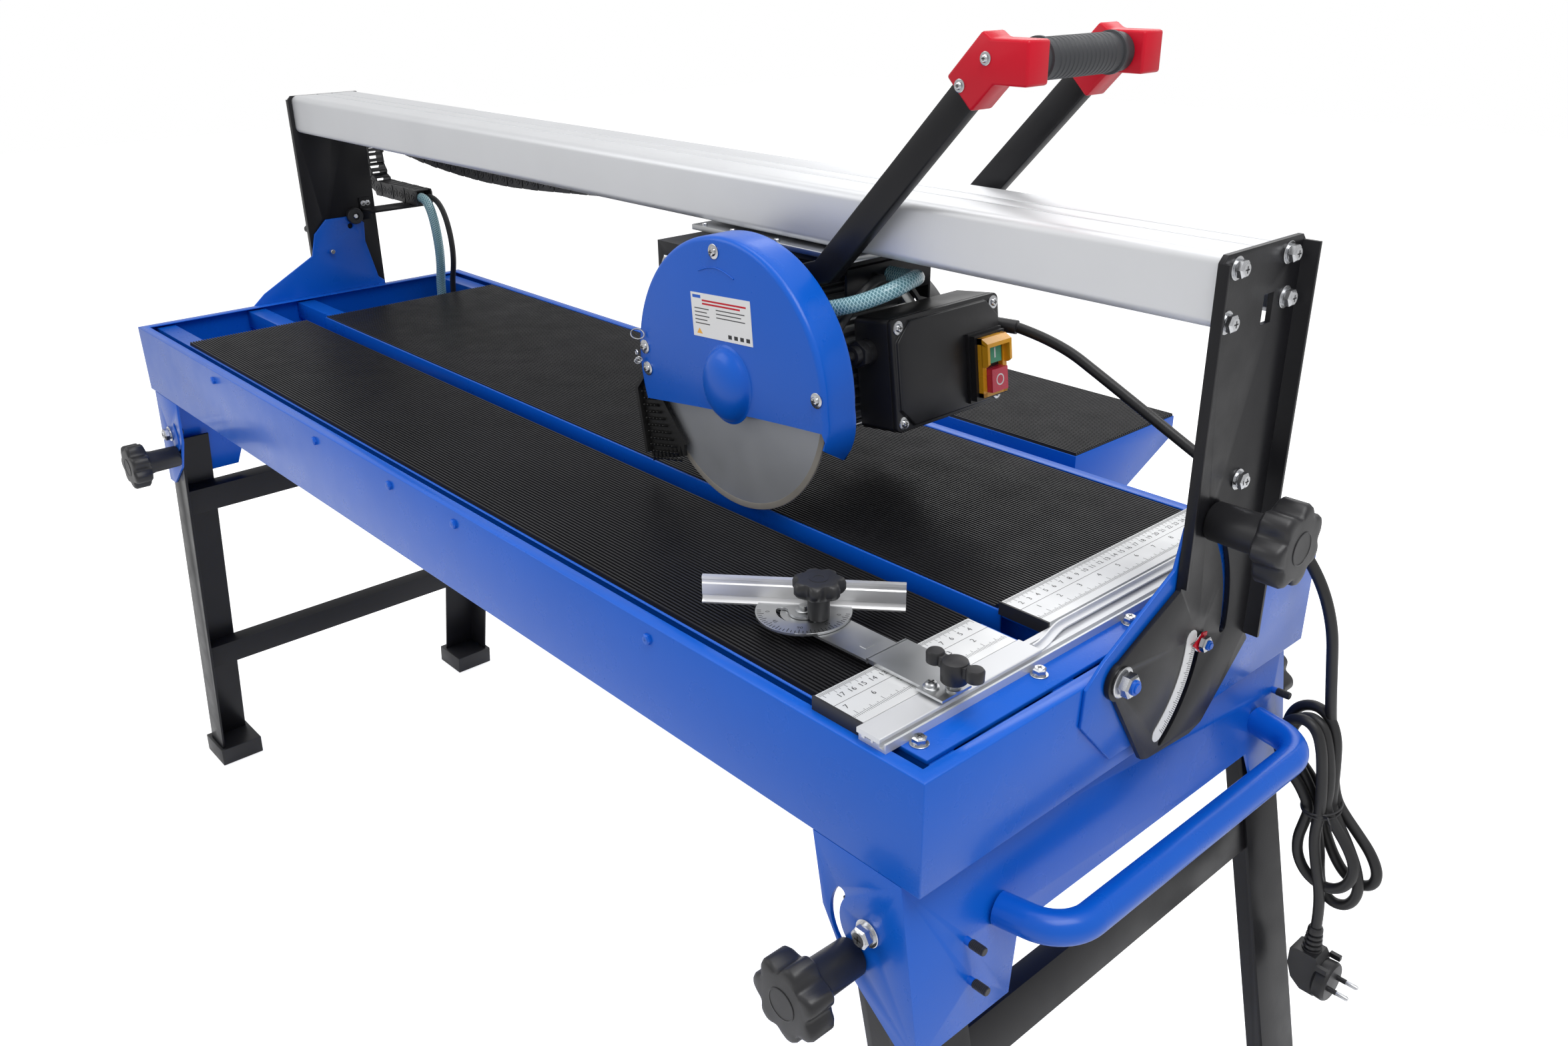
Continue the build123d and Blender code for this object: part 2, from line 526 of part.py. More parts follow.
def cable_chain():
    """Drag chain's outer shape: fixed run, bend behind the left post and the run to the carriage."""
    y0, y1 = CHAIN_Y
    half = CHAIN_HEIGHT / 2
    keep("cable_chain", block((CHAIN_BEND_X, CHAIN_END_X), CHAIN_Y, (CHAIN_LOW - half, CHAIN_LOW + half)))
    middle = (CHAIN_LOW + CHAIN_HIGH) / 2
    radius = (CHAIN_HIGH - CHAIN_LOW) / 2
    bend = Pos(CHAIN_BEND_X, (y0 + y1) / 2, middle) * Rot(90, 0, 0) * (
        Cylinder(radius + half, y1 - y0) - Cylinder(radius - half, y1 - y0 + 2))
    bend &= block((CHAIN_BEND_X - 100, CHAIN_BEND_X), (y0 - 5, y1 + 5), (80, 260))
    sag = ((CHAIN_BEND_X, CHAIN_HIGH), (-700, 200), (-609, 191), (-466, 185), (-336, 189), (-207, 198),
           (0, 213), (CHAIN_TO_X, 218))
    lower = [(x, z - half) for x, z in sag]
    upper = [(x, z + half) for x, z in reversed(sag)]
    keep("cable_chain", bend + along_y(lower + upper, y0, y1))


# --- carriage -------------------------------------------------------------
def carriage():
    """Zinc plate under the rail, hanger through the slot, rollers inside, yoke for the head."""
    hang = RAIL_SLOT / 2 - 4
    plate = block((185, 392), (55, 168), (222, 227))
    hanger = block((215, 365), (RAIL_MID - hang, RAIL_MID + hang), (227, 262))
    for x in (235, 345):
        hanger -= rod((x, 50, 250), (x, 175, 250), 5.05)
    keep("carriage_plate", plate + hanger)
    for number, x in enumerate((235, 345), 1):
        axle = rod((x, RAIL_Y[0] + 8, 250), (x, RAIL_Y[1] - 8, 250), 5)
        for y in (RAIL_Y[0] + 9, RAIL_Y[1] - 25):
            axle += rod((x, y, 250), (x, y + 16, 250), 16.8)
        keep(f"rollers_{number}", axle)
    for x in (200, 240, 300, 380):
        for y in (58.5, 164.5):
            keep("carriage_fasteners", bolt((x, y, 227), (0, 0, 1), radius=1.5, head=1.5))
    top, skin = 215.0, 3.0
    yoke = block((172, YOKE_END), (60, 165), (top - skin, top))
    yoke += block((172, 262), (24, 60), (top - skin, top))
    yoke += block((172, 175), (24, 165), (168, top))
    yoke += block((172, 262), (24, 27), (174, top))
    yoke += block((172, YOKE_END), (162, 165), (174, top))
    yoke += block((YOKE_END - skin, YOKE_END), (60, 165), (186, top))
    yoke += block((200, 380), (64, 164), (top, 222))
    yoke += block((172, 200), (165, CHAIN_Y[1]), (CHAIN_HIGH - 6, top))
    yoke -= block((172, CHAIN_TO_X), (CHAIN_Y[0] - 0.5, 240), (180, 240))
    yoke -= rod((ARBOR_X, 10, ARBOR_Z), (ARBOR_X, 180, ARBOR_Z), MOTOR_R + 12)
    yoke -= rod((PLUNGE_X, 10, PLUNGE_Z), (PLUNGE_X, 180, PLUNGE_Z), 6.05)
    keep("motor_yoke", yoke)
    keep("carriage_fasteners", rod((PLUNGE_X, 20, PLUNGE_Z), (PLUNGE_X, 169, PLUNGE_Z), 6))


# --- cutting head ---------------------------------------------------------
def motor():
    """Finned aluminium housing with tie rods, rotor inside, fan cover behind."""
    y0, y1 = MOTOR_Y
    barrel = rod((ARBOR_X, y0, ARBOR_Z), (ARBOR_X, y1, ARBOR_Z), MOTOR_R - 7)
    for index in range(36):
        angle = 10 * index
        fin = Pos(ARBOR_X, 0, ARBOR_Z) * Rot(0, angle, 0) * block(
            (MOTOR_R - 9, MOTOR_R), (y0 + 14, y1 - 12), (-1.2, 1.2))
        barrel += fin
    for y in (y0, y1 - 12):
        barrel += rod((ARBOR_X, y, ARBOR_Z), (ARBOR_X, y + 12, ARBOR_Z), MOTOR_R)
    barrel -= rod((ARBOR_X, y0 + 6, ARBOR_Z), (ARBOR_X, y1 + 1, ARBOR_Z), MOTOR_R - 14)
    barrel -= rod((ARBOR_X, y0 - 1, ARBOR_Z), (ARBOR_X, y0 + 7, ARBOR_Z), 20)
    keep("motor_housing", barrel)
    cover = rod((ARBOR_X, y1, ARBOR_Z), (ARBOR_X, y1 + 30, ARBOR_Z), MOTOR_R + 3)
    cover -= rod((ARBOR_X, y1 - 1, ARBOR_Z), (ARBOR_X, y1 + 27, ARBOR_Z), MOTOR_R)
    for index in range(12):
        vent = Pos(ARBOR_X, 0, ARBOR_Z) * Rot(0, 30 * index, 0) * block(
            (22, 58), (y1 + 20, y1 + 40), (-3, 3))
        cover -= vent
    keep("fan_cover", cover)
    arm = along_y(((PLUNGE_X - 12, PLUNGE_Z - 8), (PLUNGE_X - 10, PLUNGE_Z + 9),
                   (PLUNGE_X + 14, PLUNGE_Z + 12), (ARBOR_X - 40, ARBOR_Z + 70),
                   (ARBOR_X + 20, ARBOR_Z + 72), (ARBOR_X + 20, ARBOR_Z + 62),
                   (ARBOR_X - 60, ARBOR_Z + 40)), 56, 148)
    arm -= rod((ARBOR_X, 40, ARBOR_Z), (ARBOR_X, 160, ARBOR_Z), MOTOR_R + 0.05)
    arm -= rod((PLUNGE_X, 40, PLUNGE_Z), (PLUNGE_X, 160, PLUNGE_Z), 6.05)
    arm -= block((200, 400), (66, 138), (100, 260))
    arm += block((196, 236), (56, 148), (PLUNGE_Z - 3, PLUNGE_Z + 3))
    keep("head_frame", arm)


def arbor_and_blade():
    """Rotor shaft with flanges and nut, and the diamond disc between them."""
    disc = rod((ARBOR_X, BLADE_Y - BLADE_THICK / 2, ARBOR_Z), (ARBOR_X, BLADE_Y + BLADE_THICK / 2, ARBOR_Z),
               BLADE_R)
    disc -= rod((ARBOR_X, BLADE_Y - 5, ARBOR_Z), (ARBOR_X, BLADE_Y + 5, ARBOR_Z), BORE_R)
    keep("blade", disc)
    shaft = rod((ARBOR_X, BLADE_Y - 11.5, ARBOR_Z), (ARBOR_X, MOTOR_Y[1] + 12, ARBOR_Z), 9)
    shaft += rod((ARBOR_X, BLADE_Y - BLADE_THICK / 2, ARBOR_Z), (ARBOR_X, BLADE_Y + 6, ARBOR_Z),
                 BORE_R - 0.05)
    shaft += rod((ARBOR_X, BLADE_Y + BLADE_THICK / 2, ARBOR_Z), (ARBOR_X, BLADE_Y + 6, ARBOR_Z), 28)
    shaft += rod((ARBOR_X, BLADE_Y - BLADE_THICK / 2 - 5, ARBOR_Z),
                 (ARBOR_X, BLADE_Y - BLADE_THICK / 2, ARBOR_Z), 28)
    shaft += rod((ARBOR_X, MOTOR_Y[0] + 26, ARBOR_Z), (ARBOR_X, MOTOR_Y[1] - 20, ARBOR_Z), 42)
    keep("arbor", shaft)
    for y in (MOTOR_Y[0] + 8, MOTOR_Y[1] - 12):
        ring = rod((ARBOR_X, y, ARBOR_Z), (ARBOR_X, y + 10, ARBOR_Z), MOTOR_R - 14)
        ring -= rod((ARBOR_X, y - 1, ARBOR_Z), (ARBOR_X, y + 11, ARBOR_Z), 9.05)
        keep("motor_housing", ring)


def guard():
    """Half-moon sheet box round the blade's upper half, open below, with a dome at the arbor."""
    y0, y1 = GUARD_Y
    centre_x, centre_z = 320.0, 121.0
    tail = along_y(((centre_x, centre_z), (centre_x + GUARD_R, centre_z), (centre_x + 128, 96),
                    (centre_x + 124, 80), (centre_x + 100, 62), (centre_x + 60, 90)), y0, y1)
    shell = rod((centre_x, y0, centre_z), (centre_x, y1, centre_z), GUARD_R) + tail
    hollow = rod((centre_x, y0 + GUARD_WALL, centre_z), (centre_x, y1 - GUARD_WALL, centre_z),
                 GUARD_R - GUARD_WALL)
    hollow += along_y(((centre_x, centre_z), (centre_x + GUARD_R - 2, centre_z), (centre_x + 125.5, 97),
                       (centre_x + 121, 79), (centre_x + 100, 50), (centre_x + 60, 60)),
                      y0 + GUARD_WALL, y1 - GUARD_WALL)
    below = along_y(((100, -40), (560, -40), (560, 60), (452, 106), (209, 80), (190, 78), (100, 78)),
                    y0 - 5, y1 - GUARD_WALL)
    lower = along_y(((100, -40), (560, -40), (560, 84), (435, 84), (209, 76), (100, 74)), y0 - 5, y1 + 5)
    shell = shell - hollow - (below & block((0, 441), (-60, 60), (-50, 200))) - lower
    dome = Pos(324, y0 + 1, 120) * scale(Sphere(1), by=(29, 13, 32))
    dome &= block((280, 370), (y0 - 20, y0), (60, 180))
    cavity = Pos(324, y0 + 1, 120) * scale(Sphere(1), by=(27, 11, 30))
    shell = shell + dome - (cavity & block((290, 360), (y0 - 20, y0 + 3), (89, 160)))
    shell -= rod((ARBOR_X, 0, ARBOR_Z), (ARBOR_X, 20, ARBOR_Z), 22)
    shell -= block((180, 234), (-17, -11), (60, 114))
    shell += rod((FLAP_X, y0 + 1, FLAP_Z), (FLAP_X, -11.5, FLAP_Z), 2)
    x, y, z = HEAD_HOSE_ROUTE[-1]
    shell += rod((x - 14, y1 - 1, z), (x - 14, y + 5, z), 5) + rod((x - 15, y, z), (x, y, z), 5)
    keep("blade_guard", shell)
    for x, z in ((311, 232), (435, 132), (207, 129), (210, 109)):
        keep("head_screws", bolt((x, y0, z), (0, -1, 0), radius=3, head=2))
    web = block((306, 330), (y1, MOTOR_Y[0]), (ARBOR_Z + 30, ARBOR_Z + 60))
    web += block((ARBOR_X - 52, ARBOR_X - 30), (y1, MOTOR_Y[0]), (ARBOR_Z - 26, ARBOR_Z + 26))
    web += block((ARBOR_X + 30, ARBOR_X + 52), (y1, MOTOR_Y[0]), (ARBOR_Z - 26, ARBOR_Z + 26))
    keep("head_frame", *web.solids())
    flap = along_y(((201, 103), (187, 84), (214, 24), (226, 22), (254, 44), (222, 79), (214, 100)), -16, -12)
    flap += rod((FLAP_X, -16, FLAP_Z), (FLAP_X, -12, FLAP_Z), 6)
    keep("splash_flap", flap - rod((FLAP_X, -17, FLAP_Z), (FLAP_X, -11, FLAP_Z), 2.05))


def switch_box():
    """Black box on the motor's side with its raised cover, switch, gland and cord sleeve."""
    x0, x1, y0, y1, z0, z1 = BOX
    middle = ((x0 + x1) / 2, (y0 + y1) / 2, (z0 + z1) / 2)
    tilt = Pos(*middle) * Rot(0, -BOX_TILT, 0) * Pos(*[-value for value in middle])
    case = fillet(block((x0, x1 - 8), (y0, y1), (z0, z1)).edges().filter_by(Axis.X), 6)
    case -= block((x0 + 3, x1 - 7), (y0 + 3, y1 - 3), (z0 + 3, z1 - 3))
    keep("switch_box", tilt * case)
    cover = fillet(block((x1 - 8, x1 - 3), (y0, y1), (z0, z1)).edges().filter_by(Axis.X), 6)
    cut = 20.0
    panel = along_x(((y0 + cut, z0 + 4), (y1 - cut, z0 + 4), (y1 - 4, z0 + cut), (y1 - 4, z1 - cut),
                     (y1 - cut, z1 - 4), (y0 + cut, z1 - 4), (y0 + 4, z1 - cut), (y0 + 4, z0 + cut)),
                    x1 - 3, x1)
    keep("switch_box_cover", tilt * (cover + panel))
    for y in (y0 + 8, y1 - 8):
        for z in (z0 + 8, z1 - 8):
            keep("head_screws", tilt * rod((x1 - 3, y, z), (x1, y, z), 4))
    base = block((x1, x1 + 7), (156, 199), (89, 148))
    base += block((x1 + 7, x1 + 14), (162, 194), (93, 144))
    start_hole = block((x1 - 1, x1 + 20), (168, 186), (121, 139))
    stop_hole = block((x1 - 1, x1 + 20), (166, 188), (96, 117))
    keep("switch_frame", tilt * (base - start_hole - stop_hole))
    keep("start_button", tilt * block((x1 + 3, x1 + 13), (168.3, 185.7), (121.3, 138.7)))
    keep("stop_button", tilt * block((x1 + 4.5, x1 + 19), (166.3, 187.7), (96.3, 116.7)))
    x, _, z = MOTOR_CABLE_ROUTE[0]
    gland = rod((x, y0 - 0.05, z), (x, y0 - 6, z), 11)
    gland += Plane(origin=(x, y0 - 6, z), z_dir=(0, -1, 0)) * extrude(RegularPolygon(12, 6), 8)
    gland += rod((x, y0 - 14, z), (x, y0 - 20, z), 8)
    keep("cable_glands", gland)
    x, y, z = SLEEVE_START
    nut = rod((x, y, z), (x, y + 7, z), 9)
    cord_end, next_point = Vector(*MAINS_ROUTE[0]), Vector(*MAINS_ROUTE[1])
    boot_end = cord_end - (next_point - cord_end).normalized() * 1.6
    boot = rod((x, y + 6.5, z), boot_end, 6.4)
    keep("cable_glands", nut + boot)


def handle():
    """Two flat bars from the head up to a cross grip with red corner pieces."""
    slope = Vector(1, 0, 1.035).normalized()
    side = Vector(-slope.Z, 0, slope.X) * (BAR_WIDTH / 2)
    low, high = Vector(378, 0, 216), Vector(537, 0, 382)
    foot = Vector(302, 0, 195)
    for y in BAR_Y:
        bar = along_y([(p.X, p.Z) for p in (low - side, low + side, high + side, high - side)], *y)
        bar += along_y(((foot.X, foot.Z - 8), (foot.X, foot.Z + 8), (low.X + side.X, low.Z + side.Z),
                        (low.X - side.X, low.Z - side.Z)), *y)
        bar -= rod((ARBOR_X, MOTOR_Y[1] - 1, ARBOR_Z), (ARBOR_X, MOTOR_Y[1] + 31, ARBOR_Z), MOTOR_R + 3.5)
        keep("handle_bars", bar)
        middle = sum(y) / 2
        out = -1 if middle < RAIL_MID else 1
        corners = (high - side * 1.35 - slope * 22, high + side * 1.35 - slope * 22,
                   high + side * 1.35 + slope * 22, high - side * 1.35 + slope * 28)
        joint = along_y([(p.X, p.Z) for p in corners], middle - 12, middle + 12)
        joint += block((GRIP.X - 21, GRIP.X + 21), (middle - 12, middle + 12), (GRIP.Z - 15, GRIP.Z + 15))
        keep("handle_corners", joint - bar)
        post_y = (y[1], 56) if out < 0 else (148, y[0])
        strut = block((298, 316), post_y, (190.5, 195.5))
        keep("handle_bars", strut)
    grip = rod((GRIP.X, 56, GRIP.Z), (GRIP.X, 167, GRIP.Z), 14)
    for y in (70, 153):
        grip += rod((GRIP.X, y - 3, GRIP.Z), (GRIP.X, y + 3, GRIP.Z), 15.5)
    keep("handle_grip", grip)


# --- cords ----------------------------------------------------------------
def hank():
    """Outer shape of the tied loops that hang behind the carry handle's far bend."""
    outline = ((738, -150), (749, -136), (765, -136), (775, -150), (777, -200), (784, -240),
               (806, -258), (826, -285), (822, -312), (800, -330), (782, -322), (758, -306),
               (740, -292), (733, -262), (744, -232), (730, -196), (728, -168))
    keep("cord_hank", along_y(outline, 252.5, 291))


def plug():
    """Angled mains plug with its strain relief, round body and two pins."""
    x, y, top = PLUG
    body = rod((x, y, top), (x, y, top - 26), 7)
    body += block((x - 15, x + 13), (y - 13, y + 13), (top - 66, top - 24))
    body += rod((x + 13, y, top - 50), (x + 24, y, top - 50), 19)
    for shift in (-9.5, 9.5):
        body += rod((x + 24, y + shift, top - 50), (x + 43, y + shift, top - 50), 2.4)
    keep("mains_plug", body)


def cords():
    """Mains cord to its hank, hose and cable of the head, hose and cable to the pump."""
    cord("mains_cord", MAINS_ROUTE, CORD_R)
    hank()
    plug()
    cord("head_hose", HEAD_HOSE_ROUTE, HOSE_R)
    cord("motor_cable", MOTOR_CABLE_ROUTE, CABLE_R)
    cord("pump_hose", PUMP_HOSE_ROUTE, HOSE_R)
    cord("pump_cable", PUMP_CABLE_ROUTE, CABLE_R)


def main():
    """Builds every piece, then writes each node with the origin on the floor under the saw's middle."""
    tray()
    table()
    fence()
    bevel_hinge()
    carry_handle()
    end_brackets()
    leg_frame("left")
    leg_frame("right")
    extension()
    protractor()
    water_supply()
    rail()
    post("left")
    post("right")
    chain_bracket()
    cable_chain()
    carriage()
    motor()
    arbor_and_blade()
    guard()
    switch_box()
    handle()
    cords()
    front = TRAY_FRONT - 0.5 - KNOB_HUB - KNOB_HEAD
    middle_y = (front + EXT_Y[1]) / 2
    os.makedirs("parts", exist_ok=True)
    for name, solids in PARTS.items():
        shape = solids[0] if len(solids) == 1 else Compound(children=list(solids))
        export_step(Pos(0, -middle_y, -FLOOR) * shape, f"parts/{name}.step")
    print(len(PARTS), "nodes, moved by", -middle_y, -FLOOR)


main()
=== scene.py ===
"""Looks of a bridge wet tile saw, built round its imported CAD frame.

Shapes are written in the saw's own millimetres: z = 0 is the tray's rim, x = 0 the tray's middle, -y its
front, with the tray's front wall at y = -202. TO_ROW carries them to the row frame in metres.
"""

import json
from math import asin, cos, pi, radians, sin

import bmesh
import bpy
from mathutils import Matrix, Vector

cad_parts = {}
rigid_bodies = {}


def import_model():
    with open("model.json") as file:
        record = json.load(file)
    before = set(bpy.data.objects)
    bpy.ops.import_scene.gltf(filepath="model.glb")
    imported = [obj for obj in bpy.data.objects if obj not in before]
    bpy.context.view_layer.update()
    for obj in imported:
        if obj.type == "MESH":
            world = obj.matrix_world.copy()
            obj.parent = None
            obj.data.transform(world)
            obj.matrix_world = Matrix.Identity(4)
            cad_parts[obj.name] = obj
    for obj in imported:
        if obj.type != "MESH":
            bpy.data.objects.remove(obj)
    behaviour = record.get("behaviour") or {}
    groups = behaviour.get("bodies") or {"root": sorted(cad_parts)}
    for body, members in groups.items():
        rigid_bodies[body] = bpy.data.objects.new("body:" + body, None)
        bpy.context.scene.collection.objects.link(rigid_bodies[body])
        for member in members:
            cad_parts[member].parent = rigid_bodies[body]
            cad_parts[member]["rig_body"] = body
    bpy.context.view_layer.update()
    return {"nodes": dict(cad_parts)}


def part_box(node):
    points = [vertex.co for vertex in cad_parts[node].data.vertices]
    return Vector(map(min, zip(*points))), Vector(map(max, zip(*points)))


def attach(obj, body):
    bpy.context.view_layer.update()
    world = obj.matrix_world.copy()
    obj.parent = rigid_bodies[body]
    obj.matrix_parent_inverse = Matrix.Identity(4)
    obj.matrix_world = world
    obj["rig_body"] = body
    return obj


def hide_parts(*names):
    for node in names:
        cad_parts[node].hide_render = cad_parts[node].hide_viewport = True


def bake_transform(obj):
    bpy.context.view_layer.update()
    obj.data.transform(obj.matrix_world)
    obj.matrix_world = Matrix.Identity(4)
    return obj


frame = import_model()

MM = 0.001
TRAY_FRONT = -202.0
TRAY_LOW, TRAY_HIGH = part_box("tray")
ORIGIN = Vector(((TRAY_LOW.x + TRAY_HIGH.x) / 2, TRAY_LOW.y - TRAY_FRONT * MM, TRAY_HIGH.z))
TO_ROW = Matrix.Translation(ORIGIN) @ Matrix.Scale(MM, 4)


def at(x, y, z):
    """A point of the saw's own millimetres in the row frame, in metres."""
    return TO_ROW @ Vector((x, y, z))


# --- mesh helpers -----------------------------------------------------------
def basis(direction):
    """Two unit vectors square to a direction and to each other."""
    axis = Vector(direction).normalized()
    side = axis.cross(Vector((0, 0, 1)))
    if side.length < 1e-3:
        side = Vector((1, 0, 0))
    side.normalize()
    return side, axis.cross(side).normalized()


def add_faces(bm, points, faces, tag=0):
    """New vertices and faces; the faces take a material index."""
    verts = [bm.verts.new(p) for p in points]
    for face in faces:
        bm.faces.new([verts[i] for i in face]).material_index = tag


def circle(centre, first, second, radius, count, turn=1.0):
    """Points round a centre in the plane of two vectors."""
    return [centre + first * (radius * cos(2 * pi * turn * k / count))
            + second * (radius * sin(2 * pi * turn * k / count)) for k in range(count)]


def stack(bm, rings, tag=0, loop=False):
    """Skin over rings of points, closed at both ends or into a ring; a ring of one point is a tip."""
    points = [p for ring in rings for p in ring]
    starts = [sum(len(ring) for ring in rings[:i]) for i in range(len(rings))]
    rows = [[start + k for k in range(len(ring))] for start, ring in zip(starts, rings)]
    faces = []
    for low, high in zip(rows, rows[1:] + rows[:1] if loop else rows[1:]):
        for k in range(max(len(low), len(high))):
            lower = [low[k], low[(k + 1) % len(low)]] if len(low) > 1 else low
            upper = [high[(k + 1) % len(high)], high[k]] if len(high) > 1 else high
            faces.append(lower + upper)
    if not loop:
        faces += [row[::turn] for row, turn in ((rows[0], -1), (rows[-1], 1)) if len(row) > 1]
    add_faces(bm, points, faces, tag)


def prism(bm, outline, lift, tag=0):
    """Closed prism: an outline of points, moved along a lift vector."""
    lower = [Vector(p) for p in outline]
    stack(bm, [lower, [p + Vector(lift) for p in lower]], tag)


def block(bm, x, y, z, tag=0):
    """Box between pairs of limits."""
    outline = [(x[0], y[0], z[0]), (x[1], y[0], z[0]), (x[1], y[1], z[0]), (x[0], y[1], z[0])]
    prism(bm, outline, (0, 0, z[1] - z[0]), tag)


def flat(bm, outline, low, thick, tag=0):
    """Level plate: an outline of (x, y), its lower face's height and its thickness."""
    prism(bm, [(x, y, low) for x, y in outline], (0, 0, thick), tag)


def lathe(bm, start, direction, profile, segments=24, tag=0, squash=(1, 1), loop=False):
    """Solid of revolution of (distance along, radius) pairs, closed at both ends or into a ring."""
    start = Vector(start)
    axis = Vector(direction).normalized()
    side, up = basis(axis)
    rings = [circle(start + axis * along, side * squash[0], up * squash[1], radius, segments if radius else 1)
             for along, radius in profile]
    stack(bm, rings, tag, loop)


def rod(bm, start, end, radius, segments=20, chamfer=0.0, tag=0):
    """Round bar between two points, its ends chamfered."""
    start, end = Vector(start), Vector(end)
    length = (end - start).length
    profile = [(0, radius), (length, radius)]
    if chamfer:
        profile = [(0, radius - chamfer), (chamfer, radius), (length - chamfer, radius),
                   (length, radius - chamfer)]
    lathe(bm, start, end - start, profile, segments, tag)


def sweep(bm, points, radius, sides=12, tag=0, uv=None, closed=False):
    """Round tube along points, with turns carried from ring to ring; uv gets (round, along in mm)."""
    path = [Vector(p) for p in points]
    count = len(path)
    tangents = []
    for i in range(count):
        ahead = path[(i + 1) % count] if closed else path[min(i + 1, count - 1)]
        behind = path[i - 1] if closed or i else path[0]
        tangents.append((ahead - behind).normalized())
    side, _ = basis(tangents[0])
    rings = []
    along, run = [], 0.0
    for i, (here, tangent) in enumerate(zip(path, tangents)):
        side = (side - tangent * side.dot(tangent)).normalized()
        up = tangent.cross(side)
        r = radius(i / max(1, count - 1)) if callable(radius) else radius
        rings.append([bm.verts.new(p) for p in circle(here, side, up, r, sides)])
        along.append(run)
        run += (path[min(i + 1, count - 1)] - here).length
    last = count if closed else count - 1
    for i in range(last):
        low, high = rings[i], rings[(i + 1) % count]
        for k in range(sides):
            face = bm.faces.new([low[k], low[(k + 1) % sides], high[(k + 1) % sides], high[k]])
            face.material_index = tag
            if uv is not None:
                ends = ((k, i), (k + 1, i), (k + 1, i + 1), (k, i + 1))
                for loop, (a, b) in zip(face.loops, ends):
                    loop[uv].uv = (a / sides, along[b])
    if not closed:
        for ring, turn in ((rings[0], -1), (rings[-1], 1)):
            bm.faces.new(ring[::turn]).material_index = tag


def bevel_edges(bm, width, segments=2, above=30.0):
    """Rounds the edges that turn by more than an angle."""
    limit = radians(above)
    sharp = [e for e in bm.edges if len(e.link_faces) == 2 and e.calc_face_angle(0.0) > limit]
    if sharp:
        bmesh.ops.bevel(bm, geom=sharp, offset=width, segments=segments, profile=0.5, affect="EDGES",
                        clamp_overlap=True)


def finish_mesh(bm, name, materials, body, smooth=32.0, replaces=(), scale=TO_ROW):
    """Turns a bmesh into a piece: normals out, row frame, materials, smooth by angle, riding a body."""
    bmesh.ops.recalc_face_normals(bm, faces=bm.faces)
    mesh = bpy.data.meshes.new(name)
    bm.to_mesh(mesh)
    bm.free()
    mesh.transform(scale)
    piece = bpy.data.objects.new(name, mesh)
    bpy.context.scene.collection.objects.link(piece)
    for material in materials if isinstance(materials, (list, tuple)) else [materials]:
        mesh.materials.append(material)
    mesh.shade_smooth()
    mesh.set_sharp_from_angle(angle=radians(smooth))
    if body:
        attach(piece, body)
    if replaces:
        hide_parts(*replaces)
    return piece


def soften(node, width, material):
    """A CAD node's own shape with its edges rounded, standing for the node."""
    source = frame["nodes"][node]
    bm = bmesh.new()
    bm.from_mesh(source.data)
    bmesh.ops.remove_doubles(bm, verts=bm.verts, dist=2e-6)
    bmesh.ops.dissolve_limit(bm, angle_limit=radians(0.6), verts=bm.verts, edges=bm.edges)
    bevel_edges(bm, width * MM)
    finish_mesh(bm, node + "_shape", material, source["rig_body"], replaces=(node,), scale=Matrix.Identity(4))


# --- materials --------------------------------------------------------------
def new_material(name):
    """Empty material with a Principled shader; returns it with its nodes, links and shader."""
    material = bpy.data.materials.new(name)
    material.use_nodes = True
    tree = material.node_tree
    return material, tree, tree.nodes["Principled BSDF"]


def node(tree, kind, **values):
    """A shader node with its properties and input defaults set."""
    made = tree.nodes.new(kind)
    for key, value in values.items():
        if key in made.inputs:
            made.inputs[key].default_value = value
        else:
            setattr(made, key, value)
    return made


def noise_field(tree, scale, detail=2.0, stretch=None):
    """Noise over the object's own metres; stretch scales the axes."""
    coord = tree.nodes.new("ShaderNodeTexCoord")
    field = node(tree, "ShaderNodeTexNoise", Scale=scale, Detail=detail)
    source = coord.outputs["Object"]
    if stretch:
        mapping = node(tree, "ShaderNodeMapping", Scale=stretch)
        tree.links.new(source, mapping.inputs["Vector"])
        source = mapping.outputs["Vector"]
    tree.links.new(source, field.inputs["Vector"])
    return field.outputs["Fac"]


def spread(tree, source, low, high, start=0.3, end=0.7):
    """A number field brought to a new range."""
    limits = {"From Min": start, "From Max": end, "To Min": low, "To Max": high}
    span = node(tree, "ShaderNodeMapRange", **limits)
    tree.links.new(source, span.inputs["Value"])
    return span.outputs["Result"]


def tint(tree, shader, fac, dark, light):
    """Base colour between two colours by a field from 0 to 1."""
    mix = tree.nodes.new("ShaderNodeMix")
    mix.data_type = "RGBA"
    mix.inputs["A"].default_value = (*dark, 1)
    mix.inputs["B"].default_value = (*light, 1)
    tree.links.new(fac, mix.inputs["Factor"])
    tree.links.new(mix.outputs["Result"], shader.inputs["Base Color"])


def bump(tree, shader, height, strength, distance):
    """Normal of the shader from a height field."""
    made = node(tree, "ShaderNodeBump", Strength=strength, Distance=distance)
    tree.links.new(height, made.inputs["Height"])
    tree.links.new(made.outputs["Normal"], shader.inputs["Normal"])


